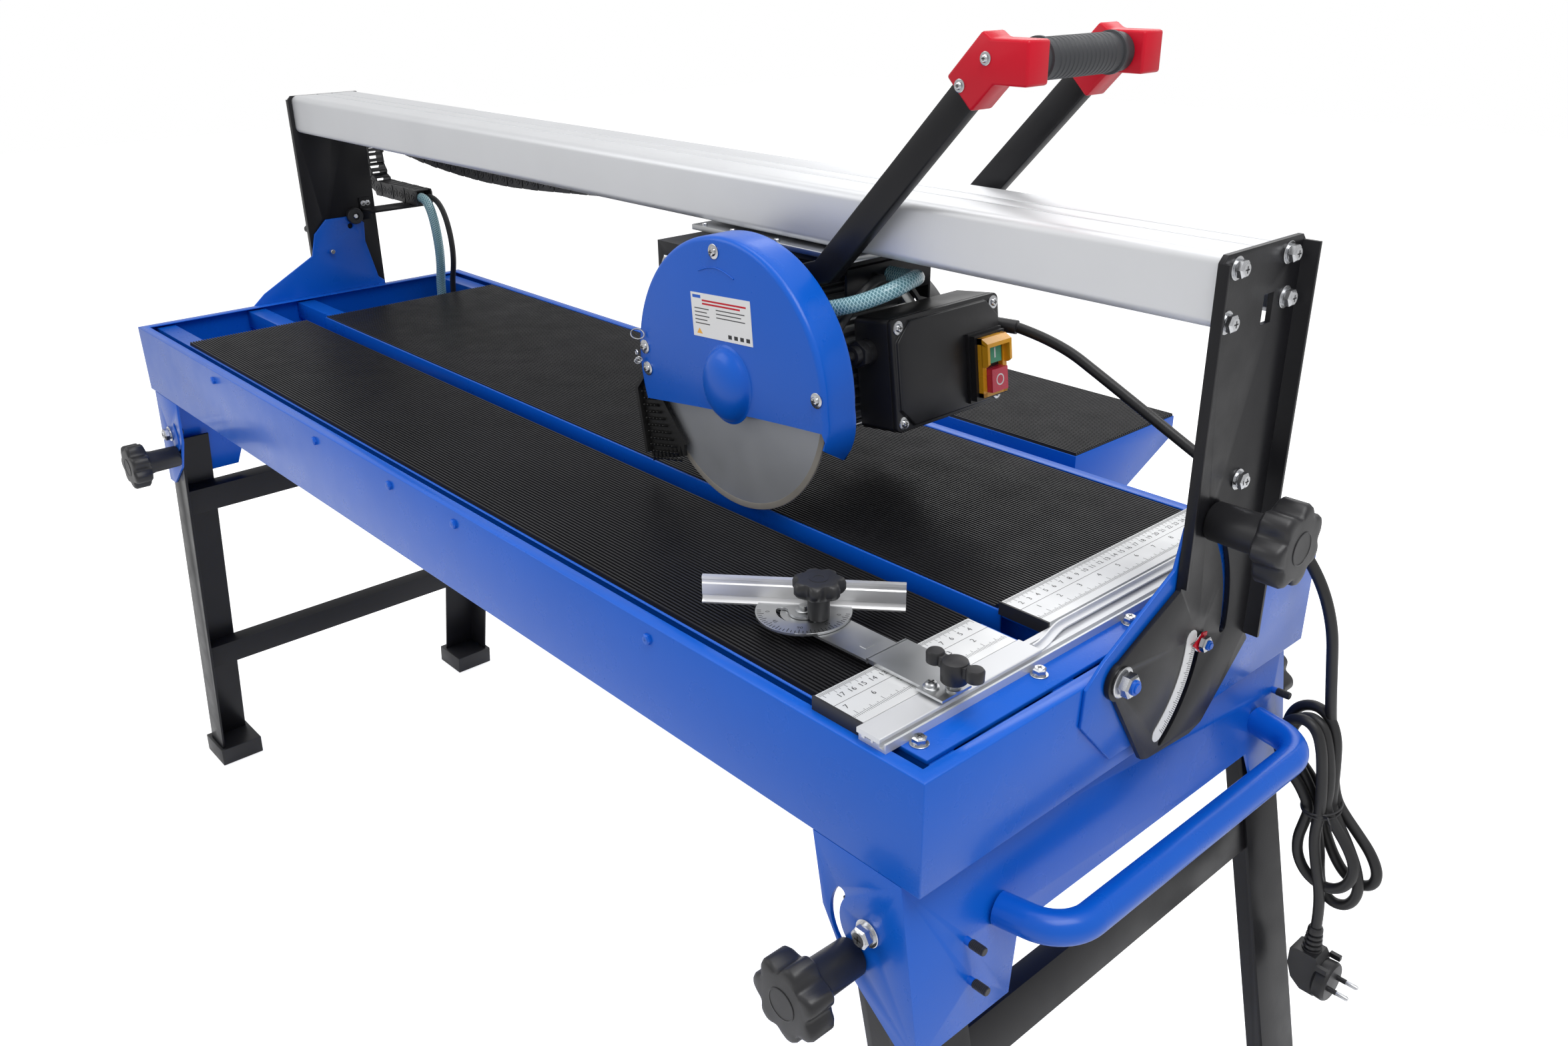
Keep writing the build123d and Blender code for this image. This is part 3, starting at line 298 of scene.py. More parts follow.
def surface(name, colour, rough, metal=0.0, grain=300.0, relief=0.0, vary=0.12, coat=0.0, stretch=None,
            detail=2.0, rough_vary=0.06, specular=0.5):
    """Finish with colour drift, roughness drift and a fine relief."""
    material, tree, shader = new_material(name)
    shader.inputs["Metallic"].default_value = metal
    shader.inputs["Coat Weight"].default_value = coat
    shader.inputs["Coat Roughness"].default_value = 0.12
    shader.inputs["Specular IOR Level"].default_value = specular
    drift = spread(tree, noise_field(tree, 9.0, 4.0), 0.0, 1.0)
    dark = [value * (1 - vary) for value in colour]
    light = [min(1.0, value * (1 + vary)) for value in colour]
    tint(tree, shader, drift, dark, light)
    fine = noise_field(tree, grain, detail, stretch)
    tree.links.new(spread(tree, noise_field(tree, 31.0, 5.0), rough - rough_vary, rough + rough_vary),
                   shader.inputs["Roughness"])
    if relief:
        bump(tree, shader, fine, 1.0, relief * MM)
    return material


BLUE = surface("blue_paint", (0.002, 0.102, 0.56), 0.29, grain=450.0, relief=0.05, vary=0.03, coat=0.12,
               specular=0.30, rough_vary=0.03)
BLUE_SMOOTH = surface("blue_paint_smooth", (0.002, 0.102, 0.56), 0.29, grain=300.0, relief=0.03, vary=0.03,
                      coat=0.12, specular=0.30, rough_vary=0.03)
BLACK = surface("black_coat", (0.010, 0.010, 0.012), 0.35, grain=500.0, relief=0.03, vary=0.15, specular=0.28)
ZINC = surface("zinc", (0.62, 0.63, 0.65), 0.24, 1.0, grain=60.0, relief=0.0, vary=0.14, rough_vary=0.1)
ZINC_SHEET = surface("zinc_sheet", (0.56, 0.57, 0.58), 0.34, 1.0, grain=120.0, relief=0.0, vary=0.08,
                     rough_vary=0.05)
ALUMINIUM = surface("anodised_rail", (0.74, 0.75, 0.77), 0.46, 0.6, vary=0.02, rough_vary=0.02)
BAR = surface("bright_bar", (0.84, 0.84, 0.85), 0.40, 0.8, vary=0.03, rough_vary=0.02)
CAST = surface("cast_aluminium", (0.30, 0.31, 0.31), 0.42, 0.55, grain=420.0, relief=0.05, vary=0.2)
BLADE = surface("blade_steel", (0.44, 0.455, 0.48), 0.40, 0.55, grain=600.0, relief=0.01, vary=0.05)
DIAMOND = surface("diamond_rim", (0.30, 0.28, 0.25), 0.62, 0.4, grain=1500.0, relief=0.12, vary=0.3)
PLASTIC = surface("black_plastic", (0.016, 0.016, 0.018), 0.42, grain=700.0, relief=0.03, vary=0.2)
BOX_PLASTIC = surface("box_plastic", (0.014, 0.014, 0.016), 0.36, grain=260.0, relief=0.04, vary=0.2)
GRIP = surface("grip_rubber", (0.035, 0.037, 0.042), 0.55, grain=900.0, relief=0.05, vary=0.15)
RED = surface("red_plastic", (0.56, 0.004, 0.020), 0.36, grain=500.0, relief=0.015, vary=0.06, specular=0.25)
YELLOW = surface("yellow_plastic", (0.86, 0.40, 0.012), 0.30, grain=500.0, relief=0.012, vary=0.06, coat=0.3)
GREEN = surface("green_plastic", (0.035, 0.30, 0.16), 0.28, grain=500.0, relief=0.01, vary=0.06, coat=0.3)
STOP = surface("stop_plastic", (0.62, 0.02, 0.06), 0.28, grain=500.0, relief=0.01, vary=0.06, coat=0.3)
MAT = surface("mat_rubber", (0.010, 0.010, 0.012), 0.38, grain=900.0, relief=0.04, vary=0.2, detail=4.0,
              specular=0.30)
BRISTLE = surface("flap_rubber", (0.012, 0.012, 0.012), 0.48, grain=900.0, relief=0.05, vary=0.25)
JACKET = surface("cord_jacket", (0.014, 0.014, 0.015), 0.46, grain=1200.0, relief=0.03, vary=0.2)
WHITE = surface("white_label", (0.80, 0.80, 0.80), 0.35, grain=500.0, relief=0.006, vary=0.02)
SCALE = surface("scale_print", (0.72, 0.73, 0.74), 0.34, 0.25, grain=700.0, relief=0.01, vary=0.02)
# Black print of the scales, numbers and label, and also painted shade: the dark crosses that stand for the
# screw heads' cross recesses.
DARK_PRINT_AND_RECESS_SHADE = surface("black_print_and_recess_shade", (0.02, 0.02, 0.022), 0.5, grain=500.0, relief=0.0, vary=0.1)


def math(tree, operation, *values):
    """A math node's result; each value is a number or another node's output."""
    made = node(tree, "ShaderNodeMath", operation=operation)
    for value, socket in zip(values, made.inputs):
        if isinstance(value, float):
            socket.default_value = value
        else:
            tree.links.new(value, socket)
    return made.outputs["Value"]


def braided():
    """Light-blue clear hose with a crossed braid under its skin."""
    material, tree, shader = new_material("braided_hose")
    uv = node(tree, "ShaderNodeUVMap", uv_map="Tube")
    split = tree.nodes.new("ShaderNodeSeparateXYZ")
    tree.links.new(uv.outputs["UV"], split.inputs["Vector"])
    lines = []
    for turn in (1, -1):
        round_part = math(tree, "MULTIPLY", split.outputs["X"], 16 * pi * turn)
        both = math(tree, "MULTIPLY_ADD", split.outputs["Y"], 2 * pi / 3.0, round_part)
        lines.append(math(tree, "SINE", both))
    weave = spread(tree, math(tree, "MAXIMUM", *lines), 0.0, 1.0, 0.55, 0.95)
    tint(tree, shader, weave, (0.10, 0.25, 0.30), (0.45, 0.68, 0.74))
    shader.inputs["Roughness"].default_value = 0.22
    shader.inputs["Coat Weight"].default_value = 0.5
    shader.inputs["Subsurface Weight"].default_value = 0.15
    shader.inputs["Subsurface Radius"].default_value = (0.002, 0.003, 0.003)
    bump(tree, shader, weave, 0.4, 0.15 * MM)
    return material


HOSE = braided()


# --- camera, light and floor ------------------------------------------------
def set_camera():
    """Camera of the photograph: place, aim, roll and lens."""
    data = bpy.data.cameras.new("camera")
    data.sensor_width = 36.0
    data.sensor_fit = "HORIZONTAL"
    data.lens = 29.34
    data.clip_end = 50.0
    camera = bpy.data.objects.new("camera", data)
    bpy.context.scene.collection.objects.link(camera)
    azimuth, elevation, roll = radians(47.975), radians(24.148), radians(-0.654)
    gaze = Vector((-sin(azimuth) * cos(elevation), cos(azimuth) * cos(elevation), -sin(elevation)))
    turn = gaze.to_track_quat("-Z", "Y").to_matrix().to_4x4()
    camera.matrix_world = (Matrix.Translation(at(1136.0, -690.2, 459.7)) @ turn
                           @ Matrix.Rotation(roll, 4, "Z"))
    bpy.context.scene.camera = camera


def area_light(name, place, aim, size, power):
    """Soft white lamp aimed at a point, both in row metres."""
    data = bpy.data.lights.new(name, "AREA")
    data.shape = "RECTANGLE"
    data.size, data.size_y = size
    data.energy = power
    lamp = bpy.data.objects.new(name, data)
    bpy.context.scene.collection.objects.link(lamp)
    lamp.location = place
    lamp.rotation_euler = (Vector(aim) - Vector(place)).to_track_quat("-Z", "Y").to_euler()


SKY_LIGHT = 0.60
# Each lamp: name, place, aim, size and power.
LAMPS = (("key", (1.6, -0.4, 3.0), (0.2, 0.0, 0.9), (1.6, 1.2), 30),
         ("fill", (-1.8, -2.2, 2.6), (-0.2, 0.0, 0.8), (2.2, 1.6), 18),
         ("top", (0.2, 0.1, 3.4), (0.2, 0.1, 0.9), (2.8, 1.2), 22),
         ("back", (-0.5, 2.4, 2.4), (0.0, 0.0, 0.9), (2.6, 1.0), 18))


def set_studio():
    """White surround, white floor and four soft lamps."""
    scene = bpy.context.scene
    scene.view_settings.view_transform = "Standard"
    scene.view_settings.look = "None"
    world = bpy.data.worlds.new("studio")
    scene.world = world
    world.use_nodes = True
    tree = world.node_tree
    sky = tree.nodes["Background"]
    sky.inputs["Color"].default_value = (1, 1, 1, 1)
    rays = tree.nodes.new("ShaderNodeLightPath")
    tree.links.new(spread(tree, rays.outputs["Is Camera Ray"], SKY_LIGHT, 1.0, 0.0, 1.0),
                   sky.inputs["Strength"])
    for lamp in LAMPS:
        area_light(*lamp)
    bm = bmesh.new()
    bmesh.ops.create_grid(bm, x_segments=2, y_segments=2, size=9.0)
    floor_paint, tree, shader = new_material("floor_white")
    drift = spread(tree, noise_field(tree, 1.5, 3.0), 0.0, 1.0)
    tint(tree, shader, drift, (0.90, 0.90, 0.90), (0.92, 0.92, 0.92))
    shader.inputs["Roughness"].default_value = 0.6
    shader.inputs["Emission Color"].default_value = (1, 1, 1, 1)
    glow = tree.nodes.new("ShaderNodeLightPath")
    tree.links.new(spread(tree, glow.outputs["Is Camera Ray"], 0.12, 0.7, 0.0, 1.0),
                   shader.inputs["Emission Strength"])
    floor = finish_mesh(bm, "floor", floor_paint, None, scale=Matrix.Translation((0, 0, -0.0005)))


set_camera()
set_studio()


# --- cords ------------------------------------------------------------------
CORD_R = 4.8
HOSE_R = 7.0
CABLE_R = 4.2
MAINS_ROUTE = ((0.446, 0.219, 0.147), (0.484, 0.227, 0.140), (0.532, 0.233, 0.115), (0.578, 0.238, 0.091),
               (0.626, 0.243, 0.066), (0.672, 0.247, 0.044), (0.712, 0.251, 0.020), (0.739, 0.255, -0.012),
               (0.754, 0.259, -0.052), (0.757, 0.266, -0.097), (0.758, 0.277, -0.140))
HEAD_HOSE_ROUTE = ((0.386, 0.112, 0.204), (0.406, 0.112, 0.204), (0.426, 0.104, 0.209), (0.439, 0.083, 0.213),
                   (0.438, 0.060, 0.207), (0.420, 0.040, 0.197), (0.397, 0.029, 0.190), (0.378, 0.025, 0.185),
                   (0.360, 0.025, 0.185))
MOTOR_CABLE_ROUTE = ((0.406, 0.046, 0.148), (0.406, 0.036, 0.148), (0.404, 0.027, 0.157),
                     (0.402, 0.032, 0.172), (0.402, 0.048, 0.186), (0.405, 0.062, 0.202),
                     (0.404, 0.080, 0.208), (0.397, 0.092, 0.204), (0.386, 0.092, 0.204))
PUMP_HOSE_ROUTE = ((-0.672, 0.215, 0.127), (-0.658, 0.215, 0.127), (-0.646, 0.217, 0.106),
                   (-0.642, 0.219, 0.068), (-0.646, 0.221, 0.030), (-0.658, 0.222, -0.004),
                   (-0.658, 0.222, -0.036))
PUMP_CABLE_ROUTE = ((-0.672, 0.228, 0.127), (-0.654, 0.228, 0.127), (-0.633, 0.229, 0.110),
                    (-0.620, 0.229, 0.076), (-0.619, 0.229, 0.038), (-0.634, 0.229, 0.0),
                    (-0.634, 0.229, -0.036))
# The hank's turns: each goes down its lower loop and back up over its upper loop, in x and z.
LOWER_LOOPS = (((784, -238), (798, -250), (812, -263), (821, -279), (819, -293), (806, -299), (793, -293),
                (782, -280), (772, -262), (766, -246)),
               ((782, -240), (795, -258), (807, -279), (812, -300), (806, -317), (793, -322), (781, -314),
                (776, -296), (773, -274), (767, -252)),
               ((784, -238), (799, -254), (808, -270), (806, -287), (797, -299), (783, -303), (768, -297),
                (758, -282), (756, -264), (759, -247)))
UPPER_LOOPS = (((752, -212), (736, -198), (723, -181), (722, -161), (731, -145), (746, -139), (759, -146),
                (767, -162), (770, -184), (772, -206)),
               ((753, -212), (741, -197), (731, -180), (731, -163), (738, -150), (749, -146), (759, -152),
                (765, -167), (770, -186), (773, -207)),
               ((751, -212), (737, -199), (726, -184), (724, -166), (732, -151), (745, -144), (757, -150),
                (764, -166), (768, -186), (771, -206)))
TIE_LEFT, TIE_RIGHT = (762, -230), (773, -226)
HANK_BACK, HANK_PITCH = 286.0, 9.8


def hank_route():
    """The lead's end, three tied turns that come forward by one pitch each, and the tail to the plug."""
    start = (760, HANK_BACK, -172)
    turns = [start, (767, HANK_BACK, -205)]
    count = len(LOWER_LOOPS[0]) + len(UPPER_LOOPS[0]) + 2
    step = 0
    for lower, upper in zip(LOWER_LOOPS, UPPER_LOOPS):
        for x, z in (TIE_RIGHT, *lower, TIE_LEFT, *upper):
            turns.append((x, HANK_BACK - HANK_PITCH * step / count, z))
            step += 1
    front = HANK_BACK - HANK_PITCH * step / count
    turns += [(TIE_RIGHT[0], front, TIE_RIGHT[1]), (772, front - 0.5, -250), (777, front, -275),
              (784, front + 3, -303), (787, 261, -328), (787, 262, -346)]
    return [(x * MM, y * MM, z * MM) for x, y, z in turns]


def spline_points(route, name):
    """Points along the NURBS line that has the route's points as its control points, in row metres."""
    curve = bpy.data.curves.new(name, "CURVE")
    curve.dimensions = "3D"
    spline = curve.splines.new("NURBS")
    spline.points.add(len(route) - 1)
    for point, (x, y, z) in zip(spline.points, route):
        point.co = (*(ORIGIN + Vector((x, y, z))), 1.0)
    spline.order_u = 3
    spline.use_endpoint_u = True
    spline.resolution_u = 10
    holder = bpy.data.objects.new(name, curve)
    bpy.context.scene.collection.objects.link(holder)
    mesh = bpy.data.meshes.new_from_object(holder)
    points = [v.co.copy() for v in mesh.vertices]
    bpy.data.meshes.remove(mesh)
    bpy.data.objects.remove(holder)
    return points


def cord_piece(name, points, radius, material, replaced):
    """Mesh tube along points, standing for the nodes it replaces."""
    bm = bmesh.new()
    uv = bm.loops.layers.uv.new("Tube")
    to_saw = TO_ROW.inverted()
    sweep(bm, [to_saw @ p for p in points], radius, sides=16, uv=uv)
    piece = finish_mesh(bm, name, material, None, smooth=50.0)
    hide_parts(*replaced)
    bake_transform(piece)
    return piece


def build_cords():
    """The mains cord in three runs with its hank and tail, and the hoses and cables."""
    whole = spline_points(list(MAINS_ROUTE) + hank_route(), "mains_line")
    at_carriage = at(508, 231, 128)
    at_bridge = at(724, 252, 8)
    first = min(range(len(whole)), key=lambda i: (whole[i] - at_carriage).length)
    second = min(range(len(whole)), key=lambda i: (whole[i] - at_bridge).length)
    plug = plug_piece()
    cord_piece("mains_cord_head", whole[:first + 1], CORD_R, JACKET,
               ("mains_cord",))
    cord_piece("mains_cord_bridge", whole[first:second + 1], CORD_R, JACKET,
               ("mains_cord",))
    cord_piece("mains_cord_hank", whole[second:], CORD_R, JACKET,
               ("mains_cord", "cord_hank"))
    runs = (("head_hose", HEAD_HOSE_ROUTE, HOSE_R, HOSE, ("carriage", "head")),
            ("motor_cable", MOTOR_CABLE_ROUTE, CABLE_R, JACKET, ("head", "carriage")),
            ("pump_hose", PUMP_HOSE_ROUTE, HOSE_R, HOSE, ("bridge", "base")),
            ("pump_cable", PUMP_CABLE_ROUTE, CABLE_R, JACKET, ("bridge", "base")))
    for name, route, radius, material, bodies in runs:
        points = spline_points(route, name + "_line")
        cord_piece(name + "_line", points, radius, material, (name,))


def plug_piece():
    """Angled mains plug: ribbed boot, block with a round face and two pins."""
    x, y, top = 787.0, 262.0, -345.0
    bm = bmesh.new()
    boot = [(0, 5.6), (2, 6.6), (5, 6.9)]
    for k in range(4):
        start = 6 + 5 * k
        boot += [(start, 6.9 + 0.5 * k), (start + 0.6, 5.4 + 0.5 * k), (start + 2.0, 5.4 + 0.5 * k),
                 (start + 2.6, 7.2 + 0.5 * k), (start + 4.6, 7.4 + 0.5 * k)]
    boot += [(27, 10.5), (30, 11)]
    lathe(bm, (x, y, top), (0, 0, -1), boot, 24)
    body = [(x - 15, y - 11, top - 28), (x - 9, y - 11, top - 25), (x + 9, y - 11, top - 25),
            (x + 13, y - 11, top - 31), (x + 13, y - 11, top - 66), (x, y - 11, top - 66),
            (x - 10, y - 11, top - 58), (x - 15, y - 11, top - 44)]
    prism(bm, body, (0, 22, 0))
    lathe(bm, (x + 10, y, top - 50), (1, 0, 0), [(0, 15), (3, 18.5), (11, 19), (13, 18.2), (14, 17)], 40)
    bevel_edges(bm, 1.6, 2, 35)
    for shift in (-13, 13):
        block(bm, (x + 12, x + 22), (y + shift - 2, y + shift + 2), (top - 34, top - 29))
    for shift in (-9.5, 9.5):
        lathe(bm, (x + 23, y + shift, top - 50), (1, 0, 0), [(0, 2.4), (9, 2.4)], 16)
        lathe(bm, (x + 31, y + shift, top - 50), (1, 0, 0), [(0, 2.2), (10, 2.2), (11.4, 1.6), (12, 0.0)], 16,
              tag=1)
    return finish_mesh(bm, "plug", [PLASTIC, ZINC], "base", replaces=("mains_plug",))


build_cords()


# --- small parts ------------------------------------------------------------
def cross_recess(bm, top, axis, long, short, deep, tag):
    """Dark cross of two bars on a screw's head: painted shade standing for the hollow of its cross recess."""
    side, up = basis(axis)
    for a, b in ((side * long, up * short), (up * long, side * short)):
        prism(bm, [top - a - b, top + a - b, top + a + b, top - a + b], axis * deep, tag)


def hex_bolt(bm, place, direction, radius, tags=(0, 1), washer=True):
    """Washer, spring washer and chamfered hexagon head, its cross recess a dark cross of painted shade."""
    place = Vector(place)
    axis = Vector(direction).normalized()
    base = 0.0
    if washer:
        lathe(bm, place, axis,
              [(0, radius * 2.05), (radius * 0.28, radius * 2.1), (radius * 0.34, radius * 2.0)], 28, tags[0])
        base = radius * 0.34
        lathe(bm, place + axis * base, axis, [(0, radius * 1.6), (radius * 0.4, radius * 1.62)], 24, tags[0])
        base += radius * 0.42
    side, up = basis(axis)
    head = radius * 1.15
    across = radius * 1.68
    sizes = ((0, across), (head * 0.72, across), (head, across * 0.80))
    stack(bm, [circle(place + axis * (base + height), side, up, size, 6) for height, size in sizes], tags[0])
    top = place + axis * (base + head)
    lathe(bm, top, axis, [(0, across * 0.74), (0.12 * radius, across * 0.66), (0.16 * radius, across * 0.3)],
          20, tags[0])
    cross_recess(bm, top + axis * (0.10 * radius), axis, radius * 0.62, radius * 0.13, radius * 0.09, tags[1])


def pan_screw(bm, place, direction, radius, tags=(0, 1)):
    """Washer and domed screw head, its cross recess a dark cross of painted shade."""
    axis = Vector(direction).normalized()
    lathe(bm, place, axis, [(0, radius * 1.75), (radius * 0.22, radius * 1.8), (radius * 0.3, radius * 1.65)],
          26, tags[0])
    lathe(bm, Vector(place) + axis * (radius * 0.3), axis,
          [(0, radius * 1.05), (radius * 0.35, radius * 1.05), (radius * 0.62, radius * 0.85),
           (radius * 0.74, radius * 0.5), (radius * 0.78, 0.0)], 24, tags[0])
    cross_recess(bm, Vector(place) + axis * (radius * 0.98), axis, radius * 0.55, radius * 0.13,
                 radius * 0.12, tags[1])


def nut(bm, place, direction, radius, height, stud=0.0, tags=(0, 1)):
    """Chamfered hexagon nut with a blue nylon ring and the stud's end."""
    axis = Vector(direction).normalized()
    side, up = basis(axis)
    sizes = ((0, radius * 0.86), (height * 0.15, radius), (height * 0.82, radius), (height, radius * 0.84))
    stack(bm, [circle(Vector(place) + axis * h, side, up, r, 6) for h, r in sizes], tags[0])
    tip = Vector(place) + axis * height
    lathe(bm, tip, axis, [(0, radius * 0.62), (stud * 0.5, radius * 0.60), (stud * 0.6, radius * 0.5)], 20,
          tags[1])
    lathe(bm, tip, axis, [(0, radius * 0.42), (stud * 0.85, radius * 0.42), (stud, radius * 0.36)], 20,
          tags[0] if stud > 4 else tags[1])


def lobed_head(bm, place, direction, head_r, hub_r, hub, head, lobes=7, ring=True):
    """Moulded knob: tapered hub, rounded lobes, dished top with a ring."""
    place = Vector(place)
    axis = Vector(direction).normalized()
    side, up = basis(axis)
    lathe(bm, place, axis,
          [(0, hub_r * 0.9), (1.2, hub_r * 0.96), (hub * 0.8, hub_r), (hub + 1, hub_r * 1.15)], 36)
    count = lobes * 12
    rings = []
    levels = ((0, 0.80, 0.4), (1.2, 0.92, 0.8), (3.5, 1.0, 1.0), (head - 4, 1.0, 1.0),
              (head - 1.4, 0.95, 0.95), (head - 0.3, 0.86, 0.7), (head, 0.72, 0.25))
    for height, size, wave in levels:
        level = []
        for k in range(count):
            angle = 2 * pi * k / count
            bite = (0.5 - 0.5 * cos(lobes * angle)) ** 1.5 * 0.22 * wave
            r = head_r * size * (1 - bite)
            level.append(place + axis * (hub + height) + side * (r * cos(angle)) + up * (r * sin(angle)))
        rings.append(level)
    stack(bm, rings)
    if ring:
        top = place + axis * (hub + head)
        inner, outer = head_r * 0.36, head_r * 0.40
        lathe(bm, top - axis * 0.3, axis, [(0, outer), (0.7, outer), (0.9, outer * 0.98), (0.9, inner * 1.02),
                                           (0.5, inner), (0.5, 0.0)], 40)


INK_THICK = 0.06


def letters(bm, text, origin, reading, rising, size, tag):
    """Flat characters laid on a surface: a reading direction, a rising direction and a size."""
    curve = bpy.data.curves.new("digits", "FONT")
    curve.body = text
    curve.size = size
    curve.align_x = "CENTER"
    curve.align_y = "CENTER"
    curve.resolution_u = 2
    holder = bpy.data.objects.new("digits", curve)
    bpy.context.scene.collection.objects.link(holder)
    mesh = bpy.data.meshes.new_from_object(holder)
    reading, rising = Vector(reading), Vector(rising)
    facing = reading.cross(rising)
    verts = [bm.verts.new(Vector(origin) + reading * v.co.x + rising * v.co.y + facing * INK_THICK)
             for v in mesh.vertices]
    for face in mesh.polygons:
        bm.faces.new([verts[i] for i in face.vertices]).material_index = tag
    bpy.data.meshes.remove(mesh)
    bpy.data.objects.remove(holder)


def tick(bm, x, y, z):
    """Printed mark: a thin box between limits of x and y on a face at z."""
    block(bm, x, y, (z, z + INK_THICK), 1)


# --- table ------------------------------------------------------------------
RIB_PITCH, RIB_WIDTH, RIB_LOW = 3.4, 1.7, 1.9


def ribbed_mat(bm, x, y, z):
    """Rubber mat with ribs along x: its section is one toothed outline."""
    low, top = z
    count = max(1, int((y[1] - y[0]) / RIB_PITCH))
    pitch = (y[1] - y[0]) / count
    outline = [(x[0], y[0], low)]
    for k in range(count):
        start = y[0] + k * pitch + (pitch - RIB_WIDTH) / 2
        end = start + RIB_WIDTH
        outline += [(x[0], start - 0.35, top - RIB_LOW), (x[0], start, top - 0.2), (x[0], start + 0.25, top),
                    (x[0], end - 0.25, top), (x[0], end, top - 0.2), (x[0], end + 0.35, top - RIB_LOW)]
    outline.append((x[0], y[1], low))
    prism(bm, outline, (x[1] - x[0], 0, 0))


def build_mats():
    """The two table mats and the side table's mat."""
    bm = bmesh.new()
    ribbed_mat(bm, (-582, 602), (-180, -22), (-2, 2))
    ribbed_mat(bm, (-582, 602), (6, 268), (-2, 2))
    finish_mesh(bm, "ribbed_mats", MAT, "base", smooth=20, replaces=("table_mats",))
    bm = bmesh.new()
    ribbed_mat(bm, (151, 451), (318, 492), (-2, 1))
    finish_mesh(bm, "side_table_mat", MAT, "extension", smooth=20, replaces=("extension_mat",))


# --- fence ------------------------------------------------------------------
RULER_X = (611.0, 656.0)
RULER_TOP = 10.0
BLADE_Y = -8.0


def ruler_marks(bm, limits, way):
    """Millimetre ticks and numbers at the outer edge, inch ticks and numbers at the inner edge."""
    low, high = limits
    left, right = RULER_X
    for mm in range(5, 280):
        y = BLADE_Y + way * mm
        if not low + 1 < y < high - 1:
            continue
        long = 6.5 if mm % 10 == 0 else 5.0 if mm % 5 == 0 else 3.2
        tick(bm, (left + 0.8, left + 0.8 + long), (y - 0.14, y + 0.14), RULER_TOP)
        if mm % 10 == 0 and mm > 10 and low + 4 < y < high - 3:
            letters(bm, str(mm // 10), (left + 11.5, y, RULER_TOP), (0, 1, 0), (-1, 0, 0), 6.6, 1)
    middle = left + 18.0
    tick(bm, (middle, middle + 0.35), (low, high), RULER_TOP)
    for sixteenth in range(1, 176):
        y = BLADE_Y + way * 25.4 * sixteenth / 16
        if not low + 1 < y < high - 1:
            continue
        long = next(size for part, size in ((16, 7.0), (8, 5.4), (4, 4.2), (1, 3.0)) if sixteenth % part == 0)
        tick(bm, (right - 7.5 - long, right - 7.5), (y - 0.16, y + 0.16), RULER_TOP)
        if sixteenth % 16 == 0 and low + 4 < y < high - 3:
            letters(bm, str(sixteenth // 16), (middle + 6.0, y, RULER_TOP), (0, 1, 0), (-1, 0, 0), 6.6, 1)


def build_fence():
    """Rulers with their prints and end caps, and the grooved guide channel."""
    bm = bmesh.new()
    spans = ((-192, -36, -1), (2, 265, 1))
    for low, high, way in spans:
        block(bm, (RULER_X[0], RULER_X[1] - 0.3), (low, high), (0.0, RULER_TOP))
    bevel_edges(bm, 0.5, 2)
    for low, high, way in spans:
        ruler_marks(bm, (low, high), way)
    finish_mesh(bm, "rulers", [SCALE, DARK_PRINT_AND_RECESS_SHADE], "base")
    bm = bmesh.new()
    for y in (-192, 2):
        block(bm, (RULER_X[0] - 0.6, RULER_X[1] + 0.2), (y - 1.6, y + 0.2), (-0.2, RULER_TOP + 0.35))
    block(bm, (RULER_X[0] - 0.7, RULER_X[0] + 0.1), (-192, -36), (0.2, RULER_TOP - 0.6))
    block(bm, (RULER_X[0] - 0.7, RULER_X[0] + 0.1), (2, 265), (0.2, RULER_TOP - 0.6))
    bevel_edges(bm, 0.25, 1)
    finish_mesh(bm, "ruler_caps", PLASTIC, "base")
    bm = bmesh.new()
    wall = [(656.2, 0), (680, 0), (680, 6.5), (678.4, 6.5), (678.4, 2.2), (674.6, 2.2), (674.6, 6.2),
            (671.0, 6.2), (671.0, 4.2), (661.5, 4.2), (661.5, 6.2), (656.2, 6.2)]
    prism(bm, [(x, -196, z) for x, z in wall], (0, 462, 0))
    strip = [(656.2, 6.4), (660.5, 6.4), (660.5, 4.6), (663.4, 4.6), (663.4, 6.4), (669.0, 6.4), (669.0, 4.6),
             (670.6, 4.6), (670.6, 6.4), (675.8, 6.4), (676.4, 7.4), (676.4, 9.6), (675.8, 10), (656.2, 10)]
    prism(bm, [(x, -198, z) for x, z in strip], (0, 164, 0))
    finish_mesh(bm, "fence_channel", ALUMINIUM, "base", smooth=25, replaces=("fence_rulers",))
    bm = bmesh.new()
    lip = []
    for k in range(25):
        t = k / 24
        ease = t * t * (3 - 2 * t)
        lip.append((668.5 - 9.0 * ease, -33 + 46 * t))
    inner = [(x - 1.4, y) for x, y in lip]
    outline = lip + [(659.5, 264), (658.1, 264)] + inner[::-1]
    flat(bm, outline, 6.2, 4.0)
    outer = [(x + 5.5, y) for x, y in lip] + [(665.0, 264)]
    plate = outer + [(659.4, 264)] + [(x, y) for x, y in lip[::-1]]
    flat(bm, plate, 6.25, 1.2)
    finish_mesh(bm, "channel_lip", ALUMINIUM, "base", smooth=40)


# --- bolts ------------------------------------------------------------------
PIVOT = (-8.0, -5.0)
POINTER_ARC, POINTER_ANGLE = 101, radians(-4)
PLATE_FACE = 726.0
LEG_PIVOT = (674, -143)
FRONT_WALL, REAR_WALL = -202, 287
POST_BOLTS = ((74, 270), (141, 270), (69, 235), (144, 239), (115, 112))


